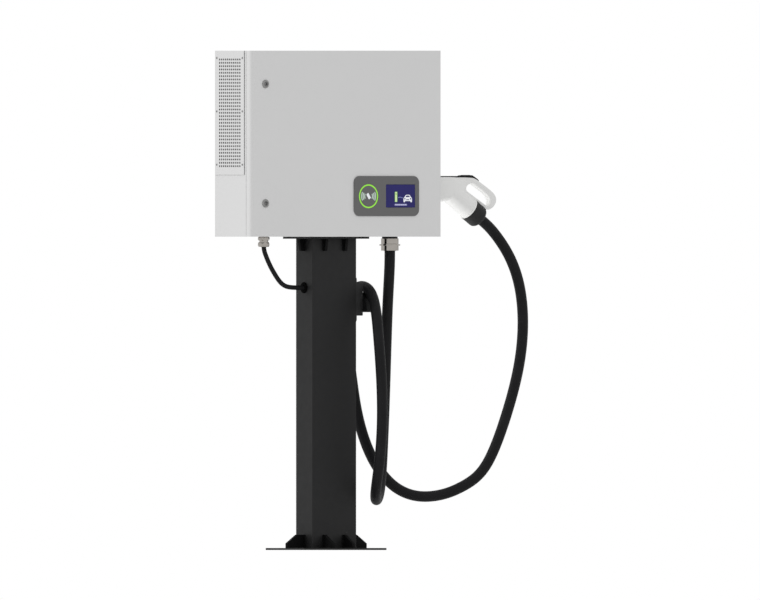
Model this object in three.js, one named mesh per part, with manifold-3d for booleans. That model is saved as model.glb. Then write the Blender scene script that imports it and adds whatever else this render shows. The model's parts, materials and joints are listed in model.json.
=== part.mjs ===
// Free-standing charging post: a wall-box cabinet on a rectangular steel post, with a charging
// cable that hangs over a side hook and a connector parked in a holster on the cabinet's side.
// Millimetres, +Z up. The origin is the centre of the base plate's underside; -Y is the door side.
import * as THREE from 'three';
import { mergeVertices } from 'three/addons/utils/BufferGeometryUtils.js';
import Module from 'manifold-3d';

const wasm = await Module();
wasm.setup();

// ---------------------------------------------------------------- driving dimensions
const GAP = 0.3;                    // between pieces that touch
const BASE = { width: 310, depth: 192, thick: 6, hole: 16, holeX: 132, holeY: 74, duct: 50, ductX: 45 };
const POST = { width: 165, depth: 82, wall: 4, corner: 1, top: 933.7 };
const HEAD = { width: 221, depth: 138, top: 939.7, boltX: 96, boltY: 55, bolt: 10 };
const RIB = { thick: 10, frontX: 37.5 };
const CAB = { half: 358, front: -96.5, seam: -76.5, rear: 79.5, bottom: 940, top: 1498, wall: 2.5 };
const MID_Y = (CAB.front + CAB.rear) / 2;          // middle of the cabinet's depth
const LIP = { halfX: 328, bottom: 970, top: 1468, reach: 13 };
const DOOR = { sheet: 2, lockBend: 7, hingeBend: 1 };
const HINGE = { x: 365, y: CAB.seam, radius: 5, pin: 2.5, length: 60, upper: 1440, lower: 995 };
const LOCK = { x: -301, upper: 1398, lower: 1040, flange: 12.5, barrel: 10, core: 7 };
const BEZEL = { x: 152.5, z: 1061.8, width: 245, height: 120.3, corner: 20, proud: 2.8 };
const SCREEN = { x: 205, z: 1062, width: 109, height: 69 };
const READER = { x: 84.5, z: 1061.3, outer: 36, inner: 31.5 };
const GRILLE = { front: -67.7, rear: 76, bottom: 1125.6, thick: 2.3, rows: 33, pitch: 10, slot: 5.6 };
GRILLE.firstRow = 1151.5;
GRILLE.slotFront = -45.6;
GRILLE.slotRear = 60;
const GLAND_X = 237;                // both cable glands sit this far from the middle
const GLAND_Y = -3.5;
const CABLE = { radius: 16, sides: 8, steps: 70 };
const SUPPLY = { radius: 7, sides: 8, steps: 30, entryZ: 787, bore: 7.8 };
const HOOK = { end: 110.5, halfY: 38, bottom: 703, top: 802.5, plateBottom: 683, plateTop: 820 };
const DRUM = { radius: 58, z: 715.5, end: 158, wall: 6, lipEnd: 161.5, lipHalf: 20, lipTop: 787 };
const GUN = { seamX: 529.6, seamZ: 1023, slope: 34, radius: 32, boot: 34.5, headStart: 398 };
const SOCKET = { radius: 35, bore: 30.3, mouth: 395, z: 1082, flange: 46 };

// Gland profiles are [radius, height] pairs from the bottom up.
const CHARGE_GLAND = {
  sides: 24, bore: CABLE.radius + 0.6, neck: 20, threadEnd: 906.7,
  body: [[26.7, 918.2], [26.7, 934.6], [23.5, 934.6], [23.5, CAB.bottom - GAP]],
  nut: [[25.7, 898], [26.7, 899], [26.7, 913], [31.5, 913], [31.5, 917.5], [26.7, 917.5], [26.7, 917.9]],
};
const SUPPLY_GLAND = {
  sides: 6, bore: SUPPLY.bore, neck: 13.2, threadEnd: 915.7,
  body: [[16.5, 928.3], [18.3, 930], [18.3, CAB.bottom - GAP]],
  nut: [[14, 909.4], [16.5, 911], [18.3, 914], [18.3, 920], [16.5, 924]],
};

// ---------------------------------------------------------------- solids
const AXES = {
  x: [new THREE.Vector3(0, 1, 0), new THREE.Vector3(0, 0, 1), new THREE.Vector3(1, 0, 0)],
  y: [new THREE.Vector3(1, 0, 0), new THREE.Vector3(0, 0, 1), new THREE.Vector3(0, -1, 0)],
  z: [new THREE.Vector3(1, 0, 0), new THREE.Vector3(0, 1, 0), new THREE.Vector3(0, 0, 1)],
};

function toSolid(geometry) {
  const bare = geometry.index ? geometry.toNonIndexed() : geometry.clone();
  bare.deleteAttribute('normal');
  bare.deleteAttribute('uv');
  const merged = mergeVertices(bare, 1e-4);
  return new wasm.Manifold(new wasm.Mesh({
    numProp: 3,
    vertProperties: new Float32Array(merged.attributes.position.array),
    triVerts: new Uint32Array(merged.index.array),
  }));
}

function toGeometry(solid) {
  const mesh = solid.getMesh();
  const geometry = new THREE.BufferGeometry();
  geometry.setAttribute('position', new THREE.BufferAttribute(new Float32Array(mesh.vertProperties), 3));
  geometry.setIndex(new THREE.BufferAttribute(new Uint32Array(mesh.triVerts), 1));
  geometry.computeVertexNormals();
  return geometry;
}

function box(x0, x1, y0, y1, z0, z1) {
  const geometry = new THREE.BoxGeometry(x1 - x0, y1 - y0, z1 - z0);
  return toSolid(geometry.translate((x0 + x1) / 2, (y0 + y1) / 2, (z0 + z1) / 2));
}

// A shape drawn across an axis, in (y, z), (x, z) or (x, y), and filled from one place on it to another.
function fill(shape, axis, from, to, bevel = 0) {
  const options = { depth: to - from - 2 * bevel, bevelEnabled: bevel > 0, curveSegments: 2 };
  if (bevel > 0) {
    options.bevelSize = bevel;
    options.bevelThickness = bevel;
    options.bevelOffset = -bevel;
    options.bevelSegments = 2;
  }
  const geometry = new THREE.ExtrudeGeometry(shape, options).translate(0, 0, bevel);
  const [u, v, w] = AXES[axis];
  geometry.applyMatrix4(new THREE.Matrix4().makeBasis(u, v, w));
  const start = axis === 'y' ? w.clone().multiplyScalar(-to) : w.clone().multiplyScalar(from);
  return toSolid(geometry.translate(start.x, start.y, start.z));
}

function outline(points) {
  return new THREE.Shape(points.map(([a, b]) => new THREE.Vector2(a, b)));
}

function roundedRect(centreU, centreV, width, height, radius) {
  const [l, r] = [centreU - width / 2, centreU + width / 2];
  const [b, t] = [centreV - height / 2, centreV + height / 2];
  const shape = new THREE.Shape();
  shape.moveTo(l + radius, b);
  shape.lineTo(r - radius, b);
  shape.absarc(r - radius, b + radius, radius, -Math.PI / 2, 0);
  shape.lineTo(r, t - radius);
  shape.absarc(r - radius, t - radius, radius, 0, Math.PI / 2);
  shape.lineTo(l + radius, t);
  shape.absarc(l + radius, t - radius, radius, Math.PI / 2, Math.PI);
  shape.lineTo(l, b + radius);
  shape.absarc(l + radius, b + radius, radius, Math.PI, 1.5 * Math.PI);
  return shape;
}

// A turned piece: [radius, place] pairs along an axis, from one end to the other.
function turned(profile, axis, centreU, centreV, sides = 18) {
  const points = [[0, profile[0][1]], ...profile, [0, profile.at(-1)[1]]]
    .map(([radius, place]) => new THREE.Vector2(radius, place));
  const geometry = new THREE.LatheGeometry(points, sides);
  if (axis === 'x') geometry.rotateZ(-Math.PI / 2).translate(0, centreU, centreV);
  if (axis === 'y') geometry.translate(centreU, 0, centreV);
  if (axis === 'z') geometry.rotateX(Math.PI / 2).translate(centreU, centreV, 0);
  return toSolid(geometry);
}

function rod(radius, axis, from, to, centreU, centreV, sides = 18) {
  return turned([[radius, from], [radius, to]], axis, centreU, centreV, sides);
}

function mirrorX(solid) {
  return solid.mirror([1, 0, 0]);
}

function mirrorY(solid) {
  return solid.mirror([0, 1, 0]);
}

function join(...solids) {
  return solids.reduce((all, next) => all.add(next));
}

function cut(solid, ...tools) {
  return tools.reduce((left, tool) => left.subtract(tool), solid);
}

// ---------------------------------------------------------------- the group
const post = new THREE.Group();

function finish(color, roughness, metalness) {
  return { color, roughness, metalness };
}

const FINISH = {
  whitePaint: finish(0xd2d3d3, 0.45, 0.1),
  blackPaint: finish(0x2c2d2f, 0.5, 0.2),
  zinc: finish(0xb4b6b8, 0.4, 0.9),
  nickel: finish(0xaaa59c, 0.3, 0.95),
  copper: finish(0xb87344, 0.35, 1),
  rubber: finish(0x1c1c1e, 0.8, 0),
  blackPlastic: finish(0x222326, 0.5, 0),
  greyPlastic: finish(0x6a6c70, 0.4, 0),
  whitePlastic: finish(0xe6e7e8, 0.4, 0),
  board: finish(0x1f5a3a, 0.6, 0),
  screen: finish(0x30305e, 0.15, 0),
  green: finish(0x8fd400, 0.4, 0),
};

function addPiece(name, solid, look) {
  const mesh = new THREE.Mesh(toGeometry(solid), new THREE.MeshStandardMaterial(look));
  mesh.name = name;
  post.add(mesh);
  return mesh;
}

// ---------------------------------------------------------------- post
// A welded stiffening plate: it starts at the post's wall and steps down to its outer end.
function stiffener(wall, reachTop, reachEnd, zWeld, zTall, zEnd) {
  return outline([[wall, zWeld], [wall, zTall], [wall + reachTop, zTall], [wall + reachEnd, zEnd],
    [wall + reachEnd, zWeld]]);
}

function withStiffeners(plate, sideShape, frontShape) {
  const side = fill(sideShape, 'y', -RIB.thick / 2, RIB.thick / 2);
  const front = fill(frontShape, 'x', RIB.frontX - RIB.thick / 2, RIB.frontX + RIB.thick / 2);
  const fronts = join(front, mirrorX(front));
  return join(plate, side, mirrorX(side), fronts, mirrorY(fronts));
}

function buildBase() {
  const plate = box(-BASE.width / 2, BASE.width / 2, -BASE.depth / 2, BASE.depth / 2, 0, BASE.thick);
  const weld = BASE.thick / 2;
  const side = stiffener(POST.width / 2 + GAP, 30, 67, weld, 46, 20);
  const front = stiffener(POST.depth / 2 + GAP, 5, 46, weld, 46, 20);
  let base = withStiffeners(plate, side, front);
  for (const sx of [-1, 1]) {
    for (const sy of [-1, 1]) {
      base = cut(base, rod(BASE.hole / 2, 'z', -1, BASE.thick + 1, sx * BASE.holeX, sy * BASE.holeY, 16));
    }
  }
  base = cut(base, rod(BASE.duct / 2, 'z', -1, BASE.thick + 1, BASE.ductX, 0));
  addPiece('base_flange', base, FINISH.blackPaint);
}

function buildTube() {
  const bottom = BASE.thick + GAP;
  const top = POST.top - GAP;
  const inner = roundedRect(0, 0, POST.width - 2 * POST.wall, POST.depth - 2 * POST.wall, POST.corner);
  let tube = fill(roundedRect(0, 0, POST.width, POST.depth, POST.corner), 'z', bottom, top);
  tube = cut(tube, fill(inner, 'z', bottom - 1, top + 1));
  tube = cut(tube, rod(12, 'x', -POST.width / 2 - 5, -POST.width / 2 + 10, 0, SUPPLY.entryZ));
  for (const z of [HOOK.plateBottom + 10, HOOK.plateTop - 9]) {
    tube = cut(tube, rod(4.5, 'x', POST.width / 2 - 10, POST.width / 2 + 5, 0, z, 12));
  }
  addPiece('pole_tube', tube, FINISH.blackPaint);
}

function buildHeadPlate() {
  const plate = box(-HEAD.width / 2, HEAD.width / 2, -HEAD.depth / 2, HEAD.depth / 2, POST.top, HEAD.top);
  const weld = (POST.top + HEAD.top) / 2;
  const side = stiffener(POST.width / 2 + GAP, 14, 21, weld, 897, 925);
  const front = stiffener(POST.depth / 2 + GAP, 8, 13, weld, 897, 925);
  let head = withStiffeners(plate, side, front);
  let number = 0;
  for (const sx of [-1, 1]) {
    for (const sy of [-1, 1]) {
      number += 1;
      const [x, y] = [sx * HEAD.boltX, sy * HEAD.boltY];
      head = cut(head, rod(HEAD.bolt / 2 + 0.4, 'z', POST.top - 1, HEAD.top + 1, x, y, 12));
      const floor = CAB.bottom + CAB.wall + GAP;
      const bolt = join(rod(HEAD.bolt / 2, 'z', POST.top + 0.5, floor + 1, x, y, 12),
        rod(10, 'z', floor, floor + 1.6, x, y, 12), rod(9.4, 'z', floor + 1, floor + 8, x, y, 6));
      addPiece(`cabinet_bolt_${number}`, bolt, FINISH.zinc);
    }
  }
  addPiece('top_flange', head, FINISH.blackPaint);
}

// ---------------------------------------------------------------- cabinet shell and covers
function louvres() {
  const slots = [];
  for (let z = 1190; z < 1470; z += 20) {
    slots.push(box(CAB.half - 5, CAB.half + 5, -50, 62, z, z + 9));
  }
  return slots;
}

function buildShell() {
  const { half, rear, bottom, top, wall } = CAB;
  const face = CAB.seam + 1.5;
  let shell = box(-half, half, face, rear, bottom, top);
  shell = cut(shell, box(-half + wall, half - wall, face + wall, rear - wall, bottom + wall, top - wall));
  const [lipX, mouth] = [LIP.halfX, face - LIP.reach];
  const collar = box(-lipX, lipX, mouth, face + wall, LIP.bottom, LIP.top);
  const opening = box(-lipX + 2, lipX - 2, mouth - 5, face + wall + 5, LIP.bottom + 2, LIP.top - 2);
  shell = cut(join(shell, collar), opening);
  shell = cut(shell, box(-half - 5, -half + 5, -48, 63, 1142, 1481), ...louvres());
  shell = cut(shell, rod(SUPPLY_GLAND.neck + 0.4, 'z', bottom - 5, bottom + 5, -GLAND_X, GLAND_Y),
    rod(CHARGE_GLAND.neck + 0.4, 'z', bottom - 5, bottom + 5, GLAND_X, GLAND_Y));
  for (const sx of [-1, 1]) {
    for (const sy of [-1, 1]) {
      const [x, y] = [sx * HEAD.boltX, sy * HEAD.boltY];
      shell = cut(shell, rod(HEAD.bolt / 2 + 0.4, 'z', bottom - 5, bottom + 5, x, y, 12));
    }
  }
  addPiece('cabinet_shell', shell, FINISH.whitePaint);
}

function buildGrille() {
  const outer = -CAB.half - GAP - GRILLE.thick;
  let cover = box(outer, outer + GRILLE.thick, GRILLE.front, GRILLE.rear, GRILLE.bottom, CAB.top);
  for (let row = 0; row < GRILLE.rows; row += 1) {
    const z = GRILLE.firstRow + row * GRILLE.pitch;
    cover = cut(cover, box(outer - 3, outer + 5, GRILLE.slotFront, GRILLE.slotRear,
      z - GRILLE.slot / 2, z + GRILLE.slot / 2));
  }
  addPiece('grille_cover', cover, FINISH.whitePaint);
  const inside = -CAB.half + CAB.wall + GAP;
  const filter = cut(box(inside, inside + 9, -58, 72, 1132, 1491),
    box(inside - 2, inside + 3, -42, 56, 1148, 1475), box(inside + 7, inside + 12, -42, 56, 1148, 1475));
  addPiece('dust_filter', filter, FINISH.greyPlastic);
}

// ---------------------------------------------------------------- door, hinges and locks
// The door's section: a soft bend on the lock side and a tight one on the hinge side.
function doorSection(inset, back) {
  const [side, face] = [CAB.half - inset, CAB.front + inset];
  const bend = (radius) => Math.max(radius - inset, 0.4);
  const [lockBend, hingeBend] = [bend(DOOR.lockBend), bend(DOOR.hingeBend)];
  const shape = new THREE.Shape();
  shape.moveTo(-side + lockBend, face);
  shape.lineTo(side - hingeBend, face);
  shape.absarc(side - hingeBend, face + hingeBend, hingeBend, -Math.PI / 2, 0);
  shape.lineTo(side, back);
  shape.lineTo(-side, back);
  shape.lineTo(-side, face + lockBend);
  shape.absarc(-side + lockBend, face + lockBend, lockBend, Math.PI, 1.5 * Math.PI);
  return shape;
}

function buildDoor() {
  const { front, seam, bottom, top } = CAB;
  const { sheet } = DOOR;
  let door = fill(doorSection(0, seam), 'z', bottom, top);
  door = cut(door, fill(doorSection(sheet, seam + 5), 'z', bottom + sheet, top - sheet));
  const bezel = roundedRect(BEZEL.x, BEZEL.z, BEZEL.width - 12, BEZEL.height - 12, BEZEL.corner - 6);
  door = cut(door, fill(bezel, 'y', front - 5, front + 5));
  for (const z of [LOCK.upper, LOCK.lower]) {
    door = cut(door, rod(LOCK.barrel + GAP, 'y', front - 5, front + 5, LOCK.x, z));
  }
  addPiece('door_panel', door, FINISH.whitePaint);

  const seal = { inner: 4, outer: 8, back: front + sheet + GAP, face: seam + 1.5 - LIP.reach - GAP };
  const [midZ, tall] = [(LIP.bottom + LIP.top) / 2, LIP.top - LIP.bottom];
  const ringOuter = roundedRect(0, midZ, 2 * (LIP.halfX + seal.outer), tall + 2 * seal.outer, 10);
  const ringInner = roundedRect(0, midZ, 2 * (LIP.halfX - seal.inner), tall - 2 * seal.inner, 4);
  addPiece('door_gasket', cut(fill(ringOuter, 'y', seal.back, seal.face),
    fill(ringInner, 'y', seal.back - 1, seal.face + 1)), FINISH.rubber);
}

function hingeBarrel(z0, z1) {
  return cut(rod(HINGE.radius, 'z', z0, z1, HINGE.x, HINGE.y, 16),
    rod(HINGE.pin + 0.2, 'z', z0 - 1, z1 + 1, HINGE.x, HINGE.y, 16));
}

function buildHinge(label, z) {
  const [low, high] = [z - HINGE.length / 2, z + HINGE.length / 2];
  const third = HINGE.length / 3;
  const side = CAB.half + GAP;
  const leafEdge = side + 2.7;
  const bore = rod(HINGE.pin + 0.2, 'z', low - 1, high + 1, HINGE.x, HINGE.y, 16);
  const frameLeaf = cut(join(hingeBarrel(low + third + GAP, high - third - GAP),
    box(side, leafEdge, HINGE.y + 2.5, HINGE.y + 34, low + third + GAP, high - third - GAP),
    box(side, leafEdge - 0.7, HINGE.y + 9, HINGE.y + 34, low, high)), bore);
  addPiece(`hinge_${label}_frame_leaf`, frameLeaf, FINISH.whitePaint);
  const reach = (z0, z1) => box(side, leafEdge, HINGE.y - 15, HINGE.y - 2.5, z0, z1);
  const doorLeaf = cut(join(hingeBarrel(low, low + third), hingeBarrel(high - third, high),
    reach(low, low + third), reach(high - third, high),
    box(side, leafEdge - 0.7, HINGE.y - 15, HINGE.y - 9, low, high)), bore);
  addPiece(`hinge_${label}_door_leaf`, doorLeaf, FINISH.whitePaint);
  addPiece(`hinge_${label}_pin`, join(rod(HINGE.pin, 'z', low - 1.5, high + 1, HINGE.x, HINGE.y, 16),
    rod(HINGE.radius - 0.8, 'z', high + GAP, high + 2.5, HINGE.x, HINGE.y, 16)), FINISH.zinc);
}

function buildLock(label, z) {
  const face = CAB.front;
  let housing = turned([[LOCK.flange, face - 2.8], [LOCK.flange, face - GAP], [LOCK.barrel, face - GAP],
    [LOCK.barrel, face + 22]], 'y', LOCK.x, z);
  housing = join(housing, rod(13.5, 'y', face + DOOR.sheet + GAP, face + 8, LOCK.x, z, 6));
  housing = cut(housing, rod(LOCK.core + 0.2, 'y', face - 10, face + 30, LOCK.x, z, 16));
  addPiece(`lock_${label}_housing`, housing, FINISH.nickel);
  const keySlot = box(LOCK.x - 1.2, LOCK.x + 1.2, face - 10, face - 1, z - 4.5, z + 4.5);
  const core = cut(rod(LOCK.core, 'y', face - 2.4, face + 27, LOCK.x, z, 16), keySlot);
  const cam = box(LOCK.x - 8, LOCK.x + 8, face + 26, face + 29.5, z - 8, z + 38);
  addPiece(`lock_${label}_core`, join(core, cam), FINISH.zinc);
}

// ---------------------------------------------------------------- operator panel
function buildPanel() {
  const face = CAB.front - GAP;
  const front = face - BEZEL.proud;
  let bezel = fill(roundedRect(BEZEL.x, BEZEL.z, BEZEL.width, BEZEL.height, BEZEL.corner), 'y', front, face);
  const rim = roundedRect(BEZEL.x, BEZEL.z, BEZEL.width - 13, BEZEL.height - 13, BEZEL.corner - 6);
  bezel = join(bezel, fill(rim, 'y', face - 1, face + 9));
  const pocket = roundedRect(BEZEL.x, BEZEL.z, BEZEL.width - 19, BEZEL.height - 19, BEZEL.corner - 9);
  bezel = cut(bezel, fill(pocket, 'y', face + 0.5, face + 20));
  const window = roundedRect(SCREEN.x, SCREEN.z, SCREEN.width, SCREEN.height, 3);
  const groove = cut(rod(READER.outer, 'y', front - 5, front + 1.6, READER.x, READER.z, 28),
    rod(READER.inner, 'y', front - 6, front + 3, READER.x, READER.z, 28));
  addPiece('display_bezel', cut(bezel, fill(window, 'y', front - 5, front + 20), groove), FINISH.greyPlastic);

  const glass = roundedRect(SCREEN.x, SCREEN.z, SCREEN.width - 0.6, SCREEN.height - 0.6, 2.7);
  addPiece('display_screen', fill(glass, 'y', front + 0.2, front + 3), FINISH.screen);
  addPiece('reader_ring', cut(rod(READER.outer - GAP, 'y', front, front + 1.3, READER.x, READER.z, 28),
    rod(READER.inner + GAP, 'y', front - 1, front + 3, READER.x, READER.z, 28)), FINISH.green);

  const back = face + 1.2;
  addPiece('operator_board', join(box(SCREEN.x - 154, SCREEN.x + 56, back + 2.5, back + 4.1, 1023, 1100),
    box(SCREEN.x - 53, SCREEN.x + 53, back, back + 3, 1029, 1094),
    box(READER.x - 31, READER.x + 31, back + 0.8, back + 3, 1032, 1090),
    box(SCREEN.x - 30, SCREEN.x + 10, back + 4, back + 12, 1036, 1050),
    box(SCREEN.x + 14, SCREEN.x + 40, back + 4, back + 8, 1060, 1085)), FINISH.board);
}

// ---------------------------------------------------------------- power parts inside the cabinet
const PLATE = { front: 69.5, back: 72 };

function buildPlate() {
  let plate = box(-325, 325, PLATE.front, PLATE.back, 962, 1476);
  for (const x of [-300, 300]) {
    for (const z of [985, 1453]) {
      plate = join(plate, rod(8, 'y', PLATE.back - 1, CAB.rear - CAB.wall - GAP, x, z, 12));
    }
  }
  addPiece('mounting_plate', plate, FINISH.zinc);
}

function buildModule(label, z0) {
  const [x0, x1, z1] = [-195, 200, z0 + 205];
  const back = PLATE.front - GAP;
  const front = back - 84;
  let body = box(x0, x1, front, back, z0, z1);
  for (let z = z0 + 18; z < z1 - 12; z += 28) {
    body = cut(body, box(x1 - 12, x1 + 5, front + 12, back - 12, z, z + 14));
  }
  const handle = cut(box(-46, 46, front - 22, front + 1, z0 + 92, z0 + 104),
    box(-38, 38, front - 16, front + 5, z0 + 90, z0 + 106));
  const fan = { x0: x0 - 27, x1: x0 - GAP, y: back - 42, z: (z0 + z1) / 2, half: 40, bore: 38, hub: 13 };
  const around = (radius, from, to, sides) => rod(radius, 'x', from, to, fan.y, fan.z, sides);
  addPiece(`power_module_${label}`, join(cut(body, around(36, x0 - 5, x0 + 12, 20)), handle), FINISH.zinc);

  const { half, bore } = fan;
  const frame = cut(fill(roundedRect(fan.y, fan.z, 2 * half, 2 * half, 6), 'x', fan.x0, fan.x1),
    around(bore, fan.x0 - 1, fan.x1 + 1, 20));
  const spokes = join(box(fan.x1 - 4, fan.x1, fan.y - half + 1, fan.y + half - 1, fan.z - 3, fan.z + 3),
    box(fan.x1 - 4, fan.x1, fan.y - 3, fan.y + 3, fan.z - half + 1, fan.z + half - 1),
    around(fan.hub + 1, fan.x1 - 4, fan.x1), around(3, fan.x0 + 6, fan.x1 - 1, 12));
  addPiece(`fan_${label}_frame`, join(frame, spokes), FINISH.blackPlastic);
  const hub = cut(around(fan.hub, fan.x0 + 2, fan.x1 - 4 - GAP), around(3.2, fan.x0 + 5.5, fan.x1, 12));
  const blades = [];
  for (let n = 0; n < 7; n += 1) {
    const blade = new THREE.BoxGeometry(15, 2, bore - 2 - fan.hub + 1);
    blade.rotateZ(0.9).translate(0, 0, (bore - 2 + fan.hub - 1) / 2);
    blade.rotateX((n * 2 * Math.PI) / 7).translate((fan.x0 + fan.x1 - 4) / 2, fan.y, fan.z);
    blades.push(toSolid(blade));
  }
  addPiece(`fan_${label}_rotor`, join(hub, ...blades), FINISH.blackPlastic);
}

function dinBox(name, x0, x1, depth, z0, z1, look, steps = []) {
  const back = PLATE.front - GAP;
  let body = box(x0, x1, back - depth, back, z0, z1);
  for (const [low, high, cutDepth] of steps) {
    body = cut(body, box(x0 - 1, x1 + 1, back - depth - 1, back - depth + cutDepth, low, high));
  }
  addPiece(name, body, look);
}

function buildBreaker() {
  const [x0, x1, z0, z1] = [-322, -250, 1040, 1125];
  const back = PLATE.front - GAP;
  const front = back - 66;
  let body = box(x0, x1, front, back, z0, z1);
  body = cut(body, box(x0 - 1, x1 + 1, front - 1, front + 20, z0 - 1, z0 + 20),
    box(x0 - 1, x1 + 1, front - 1, front + 20, z1 - 20, z1 + 1));
  const middle = (z0 + z1) / 2;
  body = cut(body, rod(9, 'x', x0 + 6, x1 - 6, front + 3, middle, 20));
  addPiece('input_breaker', body, FINISH.greyPlastic);
  const bar = join(rod(8.5, 'x', x0 + 6.5, x1 - 6.5, front + 3, middle, 20),
    box(x0 + 7, x1 - 7, front - 14, front, middle + 1, middle + 6));
  addPiece('breaker_toggle', bar, FINISH.blackPlastic);
}

function buildRails() {
  const back = PLATE.front - GAP;
  let terminals = box(-322, -215, back - 42, back, 978, 1020);
  for (let x = -309; x < -220; x += 21) {
    terminals = cut(terminals, box(x, x + 10, back - 50, back - 30, 985, 1013));
  }
  addPiece('terminal_block', terminals, FINISH.greyPlastic);
  let earth = box(-170, -40, back - 5, back, 975, 990);
  for (let x = -158; x < -45; x += 22) {
    earth = cut(earth, rod(3.5, 'y', back - 8, back + 3, x, 982.5, 8));
  }
  addPiece('earth_bar', earth, FINISH.copper);
}

function buildInside() {
  buildPlate();
  buildModule('lower', 1024);
  buildModule('upper', 1248);
  buildBreaker();
  buildRails();
  dinBox('control_unit', 222, 322, 60, 1340, 1465, FINISH.greyPlastic, [[1338, 1360, 22], [1445, 1467, 22]]);
  dinBox('aux_power_supply', 222, 322, 48, 1262, 1330, FINISH.zinc, [[1260, 1274, 18]]);
  dinBox('energy_meter', 250, 322, 58, 1150, 1245, FINISH.greyPlastic, [[1148, 1170, 24], [1225, 1247, 24]]);
  dinBox('dc_contactor', 250, 322, 62, 1035, 1135, FINISH.blackPlastic, [[1033, 1055, 26], [1115, 1137, 26]]);
}

// ---------------------------------------------------------------- glands and the supply cable
// A body that passes up through the cabinet's floor, a locknut on it and a nut on its lower thread.
function buildGland(name, x, size) {
  const floor = CAB.bottom + CAB.wall + GAP;
  const round = (radius, z0, z1) => rod(radius, 'z', z0, z1, x, GLAND_Y);
  const faceted = (profile) => turned(profile, 'z', x, GLAND_Y, size.sides);
  const bore = round(size.bore, 880, floor + 30);
  const body = join(faceted(size.body), round(size.neck, size.threadEnd, floor + 11));
  addPiece(`${name}_body`, cut(body, bore), FINISH.nickel);
  addPiece(`${name}_locknut`, cut(rod(size.neck + 7, 'z', floor, floor + 6, x, GLAND_Y, 6),
    round(size.neck + 0.2, floor - 1, floor + 10)), FINISH.nickel);
  const thread = round(size.neck + 0.2, size.threadEnd - GAP, CAB.bottom);
  addPiece(`${name}_nut`, cut(faceted(size.nut), thread, bore), FINISH.nickel);
}

// A cubic spline that is steered by its points, without a kink at any of them.
class Route extends THREE.Curve {
  constructor(points) {
    super();
    const [first, second] = points;
    const [beforeLast, last] = points.slice(-2);
    const beyond = (end, inner) => end.map((value, n) => 2 * value - inner[n]);
    this.points = [beyond(first, second), ...points, beyond(last, beforeLast)];
  }

  getPoint(t, target = new THREE.Vector3()) {
    const spans = this.points.length - 3;
    const span = Math.min(Math.floor(t * spans), spans - 1);
    const u = t * spans - span;
    const weights = [(1 - u) ** 3, 3 * u ** 3 - 6 * u ** 2 + 4, -3 * u ** 3 + 3 * u ** 2 + 3 * u + 1, u ** 3];
    const blend = (n) => weights.reduce((sum, w, k) => sum + w * this.points[span + k][n], 0) / 6;
    return target.set(blend(0), blend(1), blend(2));
  }
}

function tubeAlong(points, radius, sides, steps) {
  const section = new THREE.Shape();
  for (let n = 0; n < sides; n += 1) {
    const angle = (n * 2 * Math.PI) / sides;
    section[n === 0 ? 'moveTo' : 'lineTo'](radius * Math.cos(angle), radius * Math.sin(angle));
  }
  return toSolid(new THREE.ExtrudeGeometry(section, { steps, extrudePath: new Route(points) }));
}

const SUPPLY_ROUTE = [[-237, -3.5, 914], [-236.8, -3.5, 905], [-235, -3.5, 896], [-231, -3.4, 887],
  [-226, -3.2, 876.5], [-219.5, -3, 864.5], [-212.3, -2.8, 852.3], [-204, -2.5, 839.7], [-195, -2.2, 828],
  [-186.3, -1.9, 816.6], [-177, -1.6, 806.6], [-167.3, -1.3, 798.3], [-156.5, -1, 792.4],
  [-144.6, -0.7, 789.2], [-132.3, -0.4, 787.8], [-120, -0.2, 787.2], [-108, 0, 787], [-96, 0, 787], [-84, 0, 787]];

function buildSupply() {
  buildGland('supply_gland', -GLAND_X, SUPPLY_GLAND);
  addPiece('supply_cable', tubeAlong(SUPPLY_ROUTE, SUPPLY.radius, SUPPLY.sides, SUPPLY.steps), FINISH.rubber);
  const wall = -POST.width / 2;
  const grommet = turned([[11, wall - 6.5], [16.5, wall - 3], [16.5, wall - GAP], [11.7, wall - GAP],
    [11.7, wall + POST.wall + GAP], [15, wall + POST.wall + GAP], [14, wall + POST.wall + 3]],
  'x', 0, SUPPLY.entryZ);
  const bore = rod(SUPPLY.bore, 'x', wall - 10, wall + 20, 0, SUPPLY.entryZ, 16);
  addPiece('pole_grommet', cut(grommet, bore), FINISH.rubber);
}

// ---------------------------------------------------------------- cable hook
function buildHook() {
  const wall = POST.width / 2 + GAP;
  const plateZ = (HOOK.plateBottom + HOOK.plateTop) / 2;
  const plate = roundedRect(0, plateZ, 72, HOOK.plateTop - HOOK.plateBottom, 8);
  let bracket = fill(plate, 'x', wall, wall + 4);
  bracket = join(bracket, box(wall + 3, HOOK.end, -HOOK.halfY, HOOK.halfY, HOOK.bottom, HOOK.top));
  const underside = box(0, 300, -100, 100, 500, DRUM.z);
  const drum = cut(rod(DRUM.radius, 'x', HOOK.end - 2, DRUM.end, 0, DRUM.z, 40),
    rod(DRUM.radius - DRUM.wall, 'x', HOOK.end + 5, DRUM.end - 4, 0, DRUM.z, 32), underside);
  const lip = box(DRUM.end - 1, DRUM.lipEnd, -DRUM.lipHalf, DRUM.lipHalf, DRUM.z, DRUM.lipTop);
  bracket = join(bracket, drum, lip);
  const pocket = box(wall + 9, HOOK.end - 6, -HOOK.halfY + 6, HOOK.halfY - 6, HOOK.bottom - 1, HOOK.top - 6);
  bracket = cut(bracket, pocket);
  const screws = [['lower', HOOK.plateBottom + 10], ['upper', HOOK.plateTop - 9]];
  for (const [label, z] of screws) {
    bracket = cut(bracket, rod(4.5, 'x', wall - 1, wall + 6, 0, z, 12));
    addPiece(`hook_screw_${label}`, join(rod(4, 'x', wall - 16, wall + 5, 0, z, 12),
      turned([[7.5, wall + 4 + GAP], [7, wall + 7], [4, wall + 8.5]], 'x', 0, z, 12)), FINISH.zinc);
  }
  addPiece('cable_hook', bracket, FINISH.blackPlastic);
}

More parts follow.
